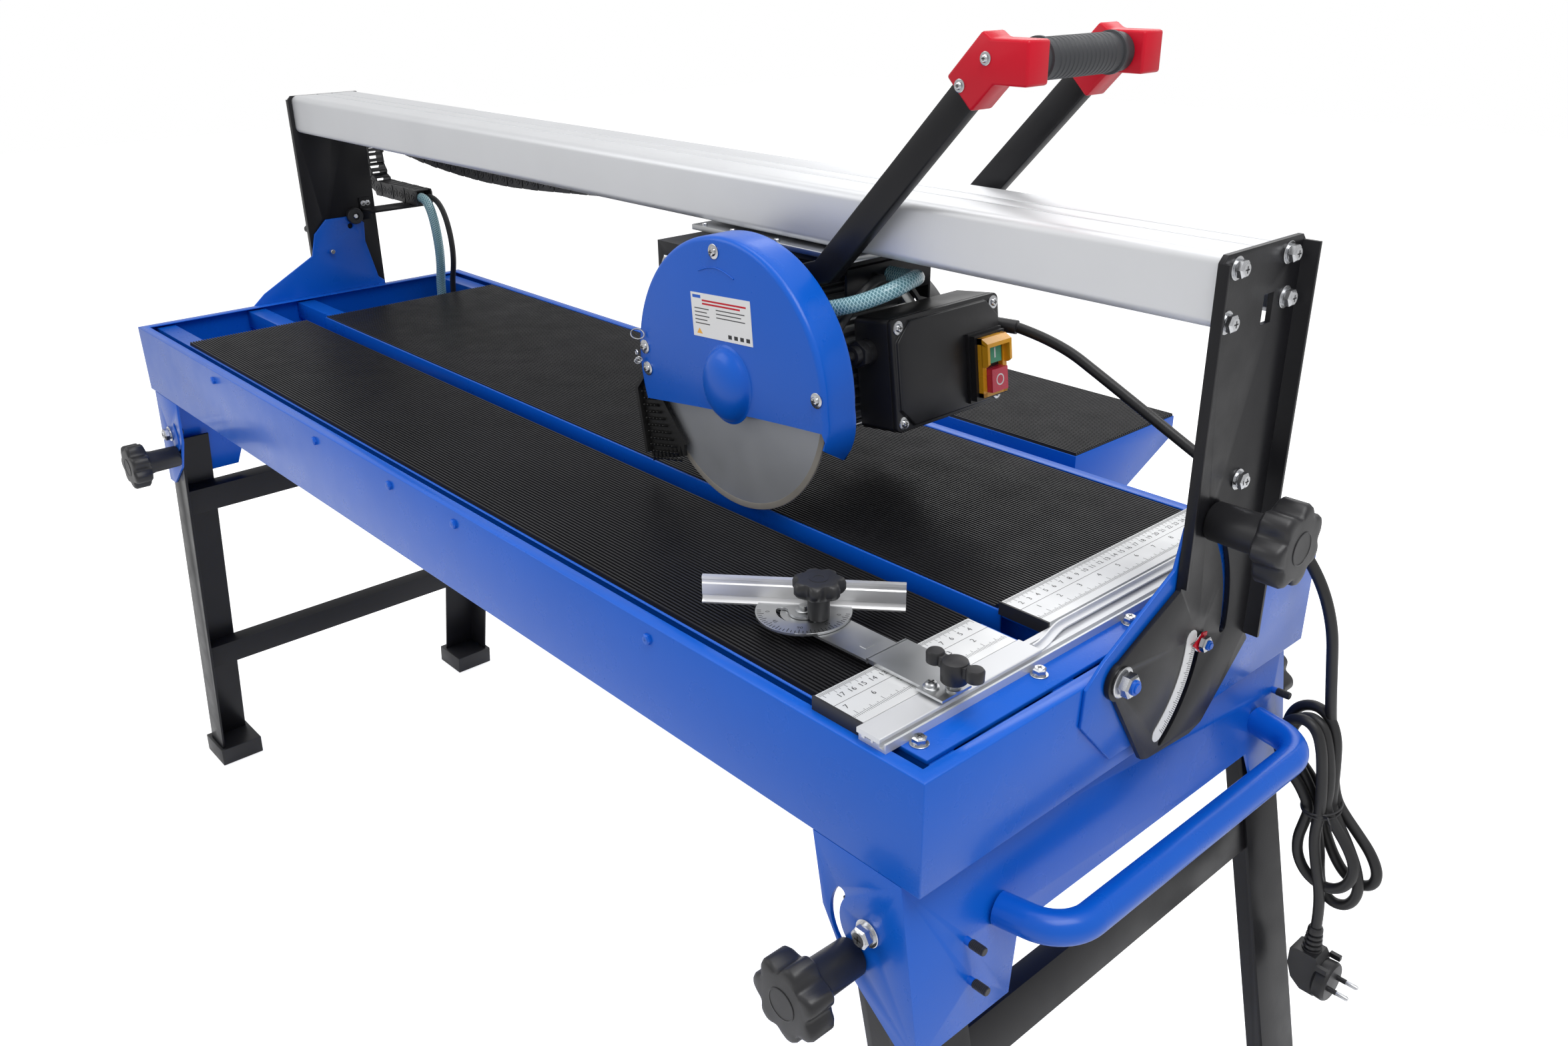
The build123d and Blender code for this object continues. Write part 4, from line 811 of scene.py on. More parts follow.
def build_base_bolts():
    """Fence bolts, the tilt pivots, the leg pivots, the pointer's nut and the front wall's screws."""
    bm = bmesh.new()
    for y in (-172, -49, 60, 180):
        hex_bolt(bm, (686.5, y, 0), (0, 0, 1), 3.1)
    mark_y = PIVOT[0] + POINTER_ARC * cos(POINTER_ANGLE)
    mark_z = PIVOT[1] + POINTER_ARC * sin(POINTER_ANGLE)
    leg_x, leg_z = LEG_PIVOT
    for side in (1, -1):
        lathe(bm, (side * 726.3, *PIVOT), (side, 0, 0), [(0, 11.5), (1.5, 11.8), (2, 11)], 32)
        nut(bm, (side * 728.2, *PIVOT), (side, 0, 0), 9.3, 8.5, 3.2, tags=(0, 2))
        rod(bm, (side * 721, *PIVOT), (side * 727, *PIVOT), 5.9)
        rod(bm, (side * 721, mark_y, mark_z), (side * 736, mark_y, mark_z), 2.4, 14, 0.5)
        lathe(bm, (side * 726.2, mark_y, mark_z), (side, 0, 0), [(0, 7.4), (1.2, 7.6), (1.6, 7)], 24)
        nut(bm, (side * 728.6, mark_y, mark_z), (side, 0, 0), 6.4, 5.5, 2.6, tags=(0, 2))
    for y, way in ((FRONT_WALL, -1), (REAR_WALL, 1)):
        for x in (leg_x, -leg_x):
            hex_bolt(bm, (x, y, leg_z), (0, way, 0), 5.0)
            nut(bm, (x, y - way * 6.6, leg_z), (0, -way, 0), 9, 7, 3)
            rod(bm, (x, y - way * 6, leg_z), (x, y, leg_z), 4.9)
    finish_mesh(bm, "base_bolt_set", [ZINC, DARK_PRINT_AND_RECESS_SHADE, BLUE_SMOOTH], "base", smooth=28, replaces=("base_bolts",))
    bm = bmesh.new()
    for x in (-444, -152, 147, 440, 20):
        hex_bolt(bm, (x, FRONT_WALL, -13), (0, -1, 0), 2.8, tags=(0, 0), washer=False)
    finish_mesh(bm, "front_screws", BLUE_SMOOTH, "base", smooth=28)


def build_bridge_bolts():
    """The five bolts in each post."""
    bm = bmesh.new()
    for side in (1, -1):
        for y, z in POST_BOLTS:
            hex_bolt(bm, (side * PLATE_FACE, y, z), (side, 0, 0), 3.8)
    finish_mesh(bm, "rail_bolt_set", [ZINC, DARK_PRINT_AND_RECESS_SHADE], "bridge", smooth=28, replaces=("rail_bolts",))


build_mats()
build_fence()
build_base_bolts()
build_bridge_bolts()


# --- protractor -------------------------------------------------------------
SWIVEL = (525.0, -121.0)
CLAMP = (541.0, -121.0)
WING = (673.0, -124.0)
BAR_START, BAR_END = Vector((457.0, -161.0)), Vector((572.0, -61.0))
ARM_LOW, ARM_TOP, PLATE_TOP = 10.3, 12.3, 14.3
HEAD_LOW = 12.6


def turned(radius, angle):
    """A plane vector of a length at an angle from x."""
    return Vector((radius * cos(angle), radius * sin(angle)))


def build_bracket():
    """Zinc sheet on the fence with its tongue, arm to the swivel, screws and studs."""
    bm = bmesh.new()
    plate = [(606, -97), (606, -137), (655, -137), (655, -141), (678, -141), (678, -112), (662, -112),
             (662, -97)]
    flat(bm, plate, ARM_TOP + 0.2, 1.8)
    arm = [(652, -135), (652, -103.5)]
    arm += [Vector(SWIVEL) + turned(17.5, radians(a)) for a in range(90, 271, 12)]
    flat(bm, arm, ARM_LOW, 1.95)
    block(bm, (604.8, 606.6), (-137, -97), (10.2, PLATE_TOP))
    bevel_edges(bm, 0.35, 1)
    block(bm, (588, 594), (-126, -117), (ARM_TOP - 0.1, ARM_TOP + 0.35))
    for x, y in ((661, -133), (657, -101)):
        lathe(bm, (x, y, PLATE_TOP), (0, 0, 1), [(0, 5.6), (1.0, 5.8), (1.3, 5.2)], 24)
        lathe(bm, (x, y, PLATE_TOP + 1.3), (0, 0, 1), [(0, 4.2), (1.8, 4.2), (2.7, 3.4), (3.0, 0)], 24)
        # Dark cross on each screw head: painted shade of its cross recess.
        block(bm, (x - 2.6, x + 2.6), (y - 0.5, y + 0.5), (PLATE_TOP + 4.1, PLATE_TOP + 4.4), 1)
        block(bm, (x - 0.5, x + 0.5), (y - 2.6, y + 2.6), (PLATE_TOP + 4.1, PLATE_TOP + 4.42), 1)
    rod(bm, (*WING, ARM_TOP - 0.5), (*WING, ARM_TOP + 24), 3.2, 20, 0.5)
    lathe(bm, (*WING, PLATE_TOP), (0, 0, 1), [(0, 5.6), (1.2, 5.8), (1.6, 5.2)], 24)
    rod(bm, (*CLAMP, ARM_TOP - 0.5), (*CLAMP, 46.2), 3.6, 20, 0.5)
    lathe(bm, (*SWIVEL, ARM_TOP - 0.2), (0, 0, 1), [(0, 3.9), (5, 3.9), (6.8, 3.4), (7.2, 0)], 24)
    lathe(bm, (*SWIVEL, HEAD_LOW + 2.1), (0, 0, 1), [(0, 6.2), (0.9, 6.4), (1.2, 5.8)], 24)
    finish_mesh(bm, "protractor_sheet", [ZINC_SHEET, DARK_PRINT_AND_RECESS_SHADE], "protractor_bracket",
                replaces=("protractor_bracket",))
    bm = bmesh.new()
    lathe(bm, (*WING, ARM_TOP + 8), (0, 0, 1), [(0, 8.6), (1, 9.4), (13, 9.8), (15.5, 8.8), (16.6, 6)], 32)
    for way in (-1, 1):
        web = ((6, -3.6, 15), (15, -3.2, 16), (15, 3.2, 16), (6, 3.6, 15))
        prism(bm, [(WING[0] + way * x, WING[1] + y, ARM_TOP + z) for x, y, z in web], (0, 0, 7.5))
        lathe(bm, (WING[0] + way * 17, WING[1], ARM_TOP + 15), (0, 0, 1),
              [(0, 5.0), (1, 6.3), (8, 6.5), (9.5, 5.4), (10, 0)], 24)
    finish_mesh(bm, "wing_knob_shape", PLASTIC, "protractor_wing_knob", smooth=40,
                replaces=("protractor_wing_knob",))
    bm = bmesh.new()
    lobed_head(bm, (*CLAMP, HEAD_LOW + 2.3), (0, 0, 1), 20.0, 8.4, 20.0, 12.0, ring=False)
    lathe(bm, (*CLAMP, 46.4), (0, 0, 1), [(0, 7.2), (0.8, 7.0), (0.8, 4.2), (0.2, 4.0), (0.2, 0)], 28)
    finish_mesh(bm, "clamp_knob_shape", PLASTIC, "protractor_knob", smooth=40, replaces=("protractor_knob",))


def arc(centre, first, second, radius, start, end, steps):
    """Points of an arc in the plane of two unit vectors."""
    angles = [start + (end - start) * k / steps for k in range(steps + 1)]
    return [centre + first * (radius * cos(a)) + second * (radius * sin(a)) for a in angles]


def build_swivel_head():
    """Disc with degree marks and curved slot, and the grooved upright bar."""
    along = (BAR_END - BAR_START).normalized()
    toward = Vector((along.y, -along.x))
    centre = Vector(SWIVEL)
    radius, low, high = 36.0, HEAD_LOW, HEAD_LOW + 2.0
    start = asin((5 - (centre - BAR_START).dot(toward)) / radius)
    outline = arc(centre, along, toward, radius, start, pi - start, 48)
    left, right = outline[-1], outline[0]
    outline += [left - along * 4 - toward * 0.8, left - along * 7 - toward * 2.4, BAR_START + toward * 5,
                BAR_START, BAR_END, BAR_END + toward * 5, right + along * 7 - toward * 2.4,
                right + along * 4 - toward * 0.8]
    east, north = Vector((1, 0)), Vector((0, 1))
    begin, end = radians(-133), radians(20)
    hole = arc(centre, east, north, 16 + 4.6, begin, end, 22)
    hole += arc(centre + turned(16, end), east, north, 4.6, end, end + pi, 8)[1:-1]
    hole += arc(centre, east, north, 16 - 4.6, end, begin, 22)
    hole += arc(centre + turned(16, begin), east, north, 4.6, begin + pi, begin + 2 * pi, 8)[1:-1]
    bm = bmesh.new()
    plate_with_hole(bm, outline, hole, low, high)
    bevel_edges(bm, 0.3, 1, 60)
    section = [(0, low), (6.6, low), (6.8, low + 1.4), (4.4, low + 2.6), (3.6, low + 5.0), (3.6, low + 5.8),
               (4.6, low + 6.6), (4.6, low + 15.4), (3.6, low + 16.4), (3.6, low + 18.4), (4.4, low + 19.2),
               (4.4, low + 21.4), (0, low + 21.4)]
    profile = [(*(BAR_START + toward * d), z) for d, z in section]
    span = BAR_END - BAR_START
    prism(bm, profile, (span.x, span.y, 0), 1)
    for degree in range(-85, 86, 5):
        ray = toward * cos(radians(degree)) + along * sin(radians(degree))
        side = Vector((-ray.y, ray.x)) * 0.32
        long = 5.0 if degree % 15 == 0 else 3.2
        a, b = centre + ray * (radius - 1.2 - long), centre + ray * (radius - 1.2)
        flat(bm, (a - side, b - side, b + side, a + side), high, INK_THICK, 2)
    for degree, text in ((0, "90"), (45, "45"), (-45, "45"), (80, "0"), (-80, "0")):
        ray = toward * cos(radians(degree)) + along * sin(radians(degree))
        place = centre + ray * (radius - 9.0)
        reading = Vector((-ray.y, ray.x))
        letters(bm, text, (*place, high), (*reading, 0), (*(-ray), 0), 4.6, 2)
    finish_mesh(bm, "protractor_disc", [ZINC_SHEET, BAR, DARK_PRINT_AND_RECESS_SHADE], "protractor_head", smooth=30,
                replaces=("protractor_head",))


def plate_with_hole(bm, outline, hole, low, high):
    """Flat plate between two heights with one hole: caps filled between the two loops."""
    levels = []
    for z in (low, high):
        loops = []
        for ring in (outline, hole):
            verts = [bm.verts.new((p[0], p[1], z)) for p in ring]
            edges = [bm.edges.new((verts[i], verts[(i + 1) % len(verts)])) for i in range(len(verts))]
            loops.append((verts, edges))
        bmesh.ops.triangle_fill(bm, edges=loops[0][1] + loops[1][1], use_beauty=True)
        levels.append(loops)
    for (low_verts, _), (high_verts, _) in zip(*levels):
        for i in range(len(low_verts)):
            bm.faces.new([low_verts[i - 1], low_verts[i], high_verts[i], high_verts[i - 1]])


build_bracket()
build_swivel_head()


# --- knobs ------------------------------------------------------------------
# Head radius, hub radius, hub length, head thickness and number of lobes.
BIG_KNOB = (31, 15, 42, 24, 7)
SMALL_KNOB = (22, 11, 22, 18, 8)
STUD_ARC, STUD_ANGLE = 134, radians(44)
LEG_ARC, LEG_ANGLE = 32, radians(244)


def build_knobs():
    """The four leg knobs and the two tilt knobs."""
    stud_y = PIVOT[0] + STUD_ARC * cos(STUD_ANGLE)
    stud_z = PIVOT[1] + STUD_ARC * sin(STUD_ANGLE)
    knobs = [("bevel_knob_right", (PLATE_FACE + 0.6, stud_y, stud_z), (1, 0, 0), BIG_KNOB),
             ("bevel_knob_left", (-PLATE_FACE - 0.6, stud_y, stud_z), (-1, 0, 0), SMALL_KNOB)]
    knob_x = LEG_PIVOT[0] + LEG_ARC * cos(LEG_ANGLE)
    knob_z = LEG_PIVOT[1] + LEG_ARC * sin(LEG_ANGLE)
    for side, x in (("right", knob_x), ("left", -knob_x)):
        for end, y, way in (("front", FRONT_WALL - 0.6, -1), ("rear", REAR_WALL + 0.6, 1)):
            knobs.append((f"leg_knob_{side}_{end}", (x, y, knob_z), (0, way, 0), BIG_KNOB))
    for name, place, way, size in knobs:
        bm = bmesh.new()
        lobed_head(bm, place, way, *size)
        finish_mesh(bm, name + "_shape", PLASTIC, name, smooth=40, replaces=(name,))


build_knobs()


# --- cutting head -----------------------------------------------------------
ARBOR = (318.0, 117.0)
GUARD_MID = (320.0, 121.0)
GUARD_R = 124.0
GUARD_FRONT, GUARD_BACK = -22.0, 14.0
BLADE_R = 115.0


def rim_path():
    """Points (x, z) of the guard's rim from its left end over the top to its tail."""
    points = []
    for k in range(61):
        angle = radians(200.2 - 200.2 * k / 60)
        points.append(Vector((GUARD_MID[0] + GUARD_R * cos(angle), GUARD_MID[1] + GUARD_R * sin(angle))))
    tail = ((445.2, 113), (445.6, 105), (445, 98), (443.6, 91), (440, 82), (433, 72))
    return points + [Vector(p) for p in tail]


def build_guard():
    """Rounded half-moon shell of sheet with its dome, open below."""
    bm = bmesh.new()
    path = rim_path()
    face_end = 62
    corner, steps = 5.0, 5
    columns = []
    for i, point in enumerate(path):
        ahead = path[min(i + 1, len(path) - 1)] - path[max(i - 1, 0)]
        inward = Vector((ahead.y, -ahead.x)).normalized()
        ring = []
        free = GUARD_FRONT
        if i > face_end:
            low = min(1.0, max(0.0, (91 - point.y) / 19))
            free = GUARD_FRONT + low * (GUARD_BACK - GUARD_FRONT - 4)
        for k in range(steps + 1):
            turn = k / steps * pi / 2
            if i <= face_end:
                inset, y = corner * (1 - sin(turn)), GUARD_FRONT + corner * (1 - cos(turn))
            else:
                inset, y = 0.0, free + 0.35 * k
            ring.append((point + inward * inset, y))
        for y in (-10, 0, 8):
            ring.append((point, max(y, free + 2 + (y + 10) * 0.08)))
        for k in range(steps + 1):
            turn = k / steps * pi / 2
            ring.append((point + inward * (2.5 * (1 - cos(turn))), GUARD_BACK - 2.5 * (1 - sin(turn))))
        columns.append([bm.verts.new((p.x, y, p.y)) for p, y in ring])
    for low, high in zip(columns, columns[1:]):
        for k in range(len(low) - 1):
            bm.faces.new([low[k], low[k + 1], high[k + 1], high[k]])
    front = [column[0] for column in columns[:face_end + 1]]
    front += [bm.verts.new((x, GUARD_FRONT, z)) for x, z in ((400, 101.8), (358, 98), (280, 89))]
    bm.faces.new(front)
    back = [column[-1] for column in columns]
    hub = Vector((ARBOR[0], GUARD_BACK, ARBOR[1]))
    hole = [bm.verts.new(p) for p in circle(hub, Vector((1, 0, 0)), Vector((0, 0, 1)), 22, 40)]
    edges = [bm.edges.get(pair) for pair in zip(back, back[1:])]
    edges.append(bm.edges.new((back[-1], back[0])))
    edges += [bm.edges.new((hole[k], hole[(k + 1) % 40])) for k in range(40)]
    bmesh.ops.triangle_fill(bm, edges=edges, use_beauty=True)
    bmesh.ops.recalc_face_normals(bm, faces=bm.faces)
    bmesh.ops.solidify(bm, geom=list(bm.faces), thickness=1.8)
    lathe(bm, (324, GUARD_FRONT + 0.4, 119.5), (0, -1, 0),
          [(0, 31.5), (0.5, 31.2), (0.9, 30.0), (1.6, 29.2), (4, 28.0), (7, 25.4), (9.6, 21.2), (11.6, 15.6),
           (12.7, 9.6), (13.2, 4.4), (13.3, 0)], 64, 0, (1, 1.12))
    bump_path = [(290 + 46 * k / 12, GUARD_FRONT - 0.1, 213 + 5.5 * sin(pi * k / 12)) for k in range(13)]
    sweep(bm, bump_path, 0.7, 8)
    rod(bm, (346, GUARD_BACK - 1, 185), (346, 30, 185), 5, 20, 0.5)
    rod(bm, (345, 25, 185), (360, 25, 185), 5.2, 20, 0.5)
    finish_mesh(bm, "guard_shell", BLUE, "head", smooth=40, replaces=("blade_guard",))


def build_label():
    """White rating plate with rules and blocks where its print would be."""
    bm = bmesh.new()
    y = GUARD_FRONT - 0.02
    top_left, top_right, low_left = Vector((278, 0, 193)), Vector((356, 0, 198)), Vector((281, 0, 155))
    across, down = (top_right - top_left), (low_left - top_left)

    def spot(u, v, lift):
        p = top_left + across * u + down * v
        return (p.x, y - lift, p.z)

    def card(u, v, lift, thick, tag):
        corners = ((u[0], v[0]), (u[1], v[0]), (u[1], v[1]), (u[0], v[1]))
        prism(bm, [spot(*corner, lift) for corner in corners], (0, -thick, 0), tag)

    card((0, 1), (0, 1), 0.0, 0.35, 0)
    card((0.03, 0.17), (0.05, 0.12), 0.35, 0.05, 1)
    for row, end in enumerate((0.93, 0.83)):
        card((0.19, end), (0.14 + 0.075 * row, 0.18 + 0.075 * row), 0.35, 0.05, 2)
    for row in range(5):
        v = 0.34 + 0.085 * row
        card((0.05, 0.30 - 0.04 * (row % 2)), (v, v + 0.022), 0.35, 0.05, 3)
        if row < 3:
            card((0.42, 0.90 - 0.06 * (row % 2)), (v - 0.02, v + 0.002), 0.35, 0.05, 3)
    for u in (0.60, 0.70, 0.80, 0.90):
        card((u, u + 0.06), (0.84, 0.93), 0.35, 0.05, 3)
    prism(bm, [spot(0.06, 0.93, 0.35), spot(0.16, 0.93, 0.35), spot(0.11, 0.80, 0.35)], (0, -0.05, 0), 4)
    finish_mesh(bm, "rating_plate", [WHITE, BLUE_SMOOTH, RED, DARK_PRINT_AND_RECESS_SHADE, YELLOW], "head")


def build_guard_hardware():
    """Screws of the guard and the switch box; the flap's lock ring and chain."""
    bm = bmesh.new()
    for x, z in ((311, 232), (435, 132), (207, 129), (210, 109)):
        pan_screw(bm, (x, GUARD_FRONT, z), (0, -1, 0), 3.6)
    for x, z in ((203, 141), (200, 123), (201, 115), (203, 117)):
        tilt = radians(35 if z > 130 else 80 * (x % 2) - 20)
        big = 6.4 if z > 130 else 3.0
        ring = [(x + big * cos(2 * pi * k / 28) * cos(tilt), -27 + big * cos(2 * pi * k / 28) * sin(tilt),
                 z + big * 0.75 * sin(2 * pi * k / 28)) for k in range(28)]
        sweep(bm, ring, 0.62, 8, closed=True)
    x1, y0, y1, z0, z1 = 437.0, 66.0, 205.0, 80.0, 178.0
    for y in (y0 + 8, y1 - 8):
        for z in (z0 + 8, z1 - 8):
            place = BOX_LEAN @ Vector((x1, y, z))
            pan_screw(bm, place, BOX_LEAN.to_3x3() @ Vector((1, 0, 0)), 3.3)
    finish_mesh(bm, "head_screw_set", [ZINC, DARK_PRINT_AND_RECESS_SHADE], "head", smooth=30, replaces=("head_screws",))


BOX_MID = Vector((417.0, 135.5, 129.0))
BOX_LEAN = Matrix.Translation(BOX_MID) @ Matrix.Rotation(radians(-7), 4, "Y") @ Matrix.Translation(-BOX_MID)


def build_blade():
    """Steel disc with its thicker diamond rim."""
    bm = bmesh.new()
    start = (ARBOR[0], -9.2, ARBOR[1])
    lathe(bm, start, (0, 1, 0), [(0.3, 0), (0.3, 109.3), (2.1, 109.3), (2.1, 0)], 160)
    rim = [(0.25, 109), (0, 109.6), (0, 114.4), (0.4, BLADE_R), (2.0, BLADE_R), (2.4, 114.4), (2.4, 109.6),
           (2.15, 109)]
    lathe(bm, start, (0, 1, 0), rim, 160, 1, loop=True)
    finish_mesh(bm, "blade_disc", [BLADE, DIAMOND], "blade", smooth=30, replaces=("blade",))


def build_flap():
    """Black rubber splash flap with rows of studs and a toothed lower edge."""
    bm = bmesh.new()
    edge = [(201, 103), (186, 85), (200, 20)]
    teeth = []
    start, end = Vector((200, 20)), Vector((254, 40))
    for k in range(9):
        root = start.lerp(end, (k + 0.5) / 9)
        tip = start.lerp(end, k / 9) + Vector((1.5, -6.5))
        teeth += [tuple(tip), (tip.x + 1.6, tip.y + 0.6), tuple(root + Vector((0, 4)))]
    outline = edge + teeth + [(254, 44), (222, 79), (214, 100)]
    prism(bm, [(x, -16, z) for x, z in outline], (0, 3.4, 0))
    flange = [(201, 103), (186, 85), (198, 22), (201.5, 24), (190.5, 85), (204, 101)]
    prism(bm, [(x, -21.5, z) for x, z in flange], (0, 9, 0))
    down, across = Vector((13.0, -66.0)).normalized(), Vector((0.97, 0.19))
    for row in range(11):
        for column in range(9):
            place = Vector((196, 82)) + down * (row * 6.4) + across * (column * 5.6 + (row % 2) * 2.4)
            if place.x > 207 + (row * 6.4) * 0.72 or place.x > 250 - (60 - place.y) * 0.1:
                continue
            stud = [(0, 1.5), (3.6, 1.1), (5.4, 0.7), (5.8, 0)]
            lathe(bm, (place.x, -15.8, place.y), (0, -1, 0.25), stud, 8)
    rod(bm, (208, -16, 104), (208, -12, 104), 6.0, 24, 0.4)
    finish_mesh(bm, "rubber_flap", BRISTLE, "splash_flap", smooth=30, replaces=("splash_flap",))


def build_motor():
    """Cast housing: star of cooling fins, end shields, tie rods with nuts."""
    bm = bmesh.new()
    star = []
    fins = 44
    for k in range(fins):
        base = 2 * pi * k / fins
        for radius, shift in ((62.5, 0.20), (69.5, 0.34), (70, 0.5), (69.5, 0.66), (62.5, 0.80), (62, 1.0)):
            angle = base + 2 * pi * shift / fins
            star.append((ARBOR[0] + radius * cos(angle), 46, ARBOR[1] + radius * sin(angle)))
    prism(bm, star, (0, 110, 0))
    lathe(bm, (ARBOR[0], 32, ARBOR[1]), (0, 1, 0),
          [(0, 54), (2, 60), (5, 67), (8, 69.5), (14, 70), (15, 68.6)], 72)
    lathe(bm, (ARBOR[0], 154, ARBOR[1]), (0, 1, 0), [(0, 68.6), (1, 70), (12, 70), (13.9, 69)], 72)
    for k in range(6):
        angle = radians(20 + 60 * k)
        x, z = ARBOR[0] + 72.5 * cos(angle), ARBOR[1] + 72.5 * sin(angle)
        if z > 178:
            continue
        rod(bm, (x, 38, z), (x, 166, z), 2.6, 16, 0.4, 1)
        lathe(bm, (x, 40, z), (0, 1, 0), [(0, 5.4), (1, 5.8), (7, 5.8), (8, 5.2)], 20)
        lathe(bm, (x, 156, z), (0, 1, 0), [(0, 5.4), (1, 5.8), (9, 5.8), (10, 5.2)], 20)
    finish_mesh(bm, "motor_casting", [CAST, ZINC], "head", smooth=30, replaces=("motor_housing",))


def lean(bm):
    """Tilts the vertices by the switch box's lean."""
    for vert in bm.verts:
        vert.co = BOX_LEAN @ vert.co


def build_switch():
    """Black base, yellow hood with stepped cheeks, green and red buttons with their marks."""
    x1 = 440.0
    bm = bmesh.new()
    block(bm, (x1 - 0.5, x1 + 3), (155, 200), (87, 149))
    block(bm, (x1 + 3, x1 + 8), (157.5, 198), (89, 147))
    bevel_edges(bm, 1.2, 2)
    lean(bm)
    finish_mesh(bm, "switch_base", BOX_PLASTIC, "head")
    bm = bmesh.new()
    bars = (((161, 166), (92, 145)), ((188.5, 194), (92, 145)), ((161, 194), (92, 96)),
            ((161, 194), (139.5, 145)))
    for y, z in bars:
        block(bm, (x1 + 8, x1 + 13), y, z)
    for y in (161, 191):
        cheek = [(x1 + 12.5, y, 141), (x1 + 19.5, y, 137), (x1 + 19.5, y, 122), (x1 + 16.5, y, 119.5),
                 (x1 + 12.5, y, 119.5)]
        prism(bm, cheek, (0, 3.0, 0))
    prism(bm, [(x1 + 12.5, 161, 145), (x1 + 12.5, 161, 140), (x1 + 19.5, 161, 137), (x1 + 19.5, 161, 140.5)],
          (0, 33, 0))
    bevel_edges(bm, 0.7, 2)
    lean(bm)
    finish_mesh(bm, "switch_hood", YELLOW, "head", replaces=("switch_frame",))
    bm = bmesh.new()
    block(bm, (x1 + 6.8, x1 + 14), (168.3, 185.7), (121.3, 138.7))
    bevel_edges(bm, 1.0, 2)
    block(bm, (x1 + 13.9, x1 + 14.06), (176.2, 177.8), (125.5, 134.5), 1)
    lean(bm)
    finish_mesh(bm, "start_cap", [GREEN, WHITE], "start_button", replaces=("start_button",))
    bm = bmesh.new()
    block(bm, (x1 + 6.8, x1 + 19), (166.3, 187.7), (96.3, 116.7))
    bevel_edges(bm, 1.0, 2)
    ring = [(0, 5.2), (0.16, 5.2), (0.16, 4.0), (0, 4.0)]
    lathe(bm, (x1 + 18.9, 177, 106.5), (1, 0, 0), ring, 40, 1, loop=True)
    lean(bm)
    finish_mesh(bm, "stop_cap", [STOP, WHITE], "stop_button", replaces=("stop_button",))


build_guard()
build_label()
build_guard_hardware()
build_blade()
build_flap()
build_motor()
build_switch()


# --- cable chain ------------------------------------------------------------
CHAIN_MID_Y, CHAIN_WIDE = 220.0, 27.0
CHAIN_LINK = 19.0


def chain_path():
    """The drag chain's middle line (x, z): fixed end, bend behind the post, sagging run to the carriage."""
    centre, radius = Vector((-788, 167.5)), 40.5
    points = [Vector((-672, 127)), Vector((-780, 127))]
    points += [centre + Vector((-radius * sin(pi * k / 12), -radius * cos(pi * k / 12))) for k in range(13)]
    sag = ((-740, 203.5), (-700, 200), (-650, 194.5), (-609, 191), (-540, 187), (-466, 185), (-400, 186),
           (-336, 189), (-207, 198), (-100, 206), (0, 212), (100, 215), (198, 214))
    return points + [Vector(p) for p in sag]


def along_polyline(points, step):
    """Places and directions at even distances along a polyline."""
    places, left = [], 0.0
    for start, end in zip(points, points[1:]):
        span = end - start
        length = span.length
        while left <= length:
            places.append((start + span * (left / length), span.normalized()))
            left += step
        left -= length
    return places


def build_chain():
    """Every link: two side plates with a pin boss and four cross bars."""
    bm = bmesh.new()
    side_outline = [(-10.5, -7), (-8, -11), (8, -11), (10.5, -7), (10.5, 7), (8, 11), (-8, 11), (-10.5, 7)]
    for number, (place, way) in enumerate(along_polyline(chain_path(), CHAIN_LINK)[:-1]):
        up = Vector((-way.y, way.x))
        place = place + way * (CHAIN_LINK / 2)
        shift = 0.9 if number % 2 else 0.0

        def link_point(u, v, y):
            p = place + way * u + up * v
            return (p.x, y, p.y)

        for edge in (-1, 1):
            y = CHAIN_MID_Y + edge * (CHAIN_WIDE / 2 - shift)
            prism(bm, [link_point(u, v, y) for u, v in side_outline], (0, -edge * 2.2, 0))
            centre = link_point(0, 0, y)
            lathe(bm, centre, (0, edge, 0),
                  [(0, 6.6), (0.7, 6.3), (0.7, 4.6), (0.1, 4.4), (0.1, 2.6), (0.8, 2.4), (0.8, 0)], 18)
        for u, v in ((-5.5, 9), (3.5, 9), (-5.5, -10.6), (3.5, -10.6)):
            bar = ((u, v), (u + 4.5, v), (u + 4.5, v + 1.6), (u, v + 1.6))
            prism(bm, [link_point(a, b, CHAIN_MID_Y - 12) for a, b in bar], (0, 24, 0))
    chain = finish_mesh(bm, "chain_links", PLASTIC, None, smooth=28, replaces=("cable_chain",))
    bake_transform(chain)


# --- bridge details ---------------------------------------------------------
def turned_x(centre, radius, angle):
    """A point (y, z) on a circle seen along x, the angle in degrees."""
    return Vector((centre[0] + radius * cos(radians(angle)), centre[1] + radius * sin(radians(angle))))


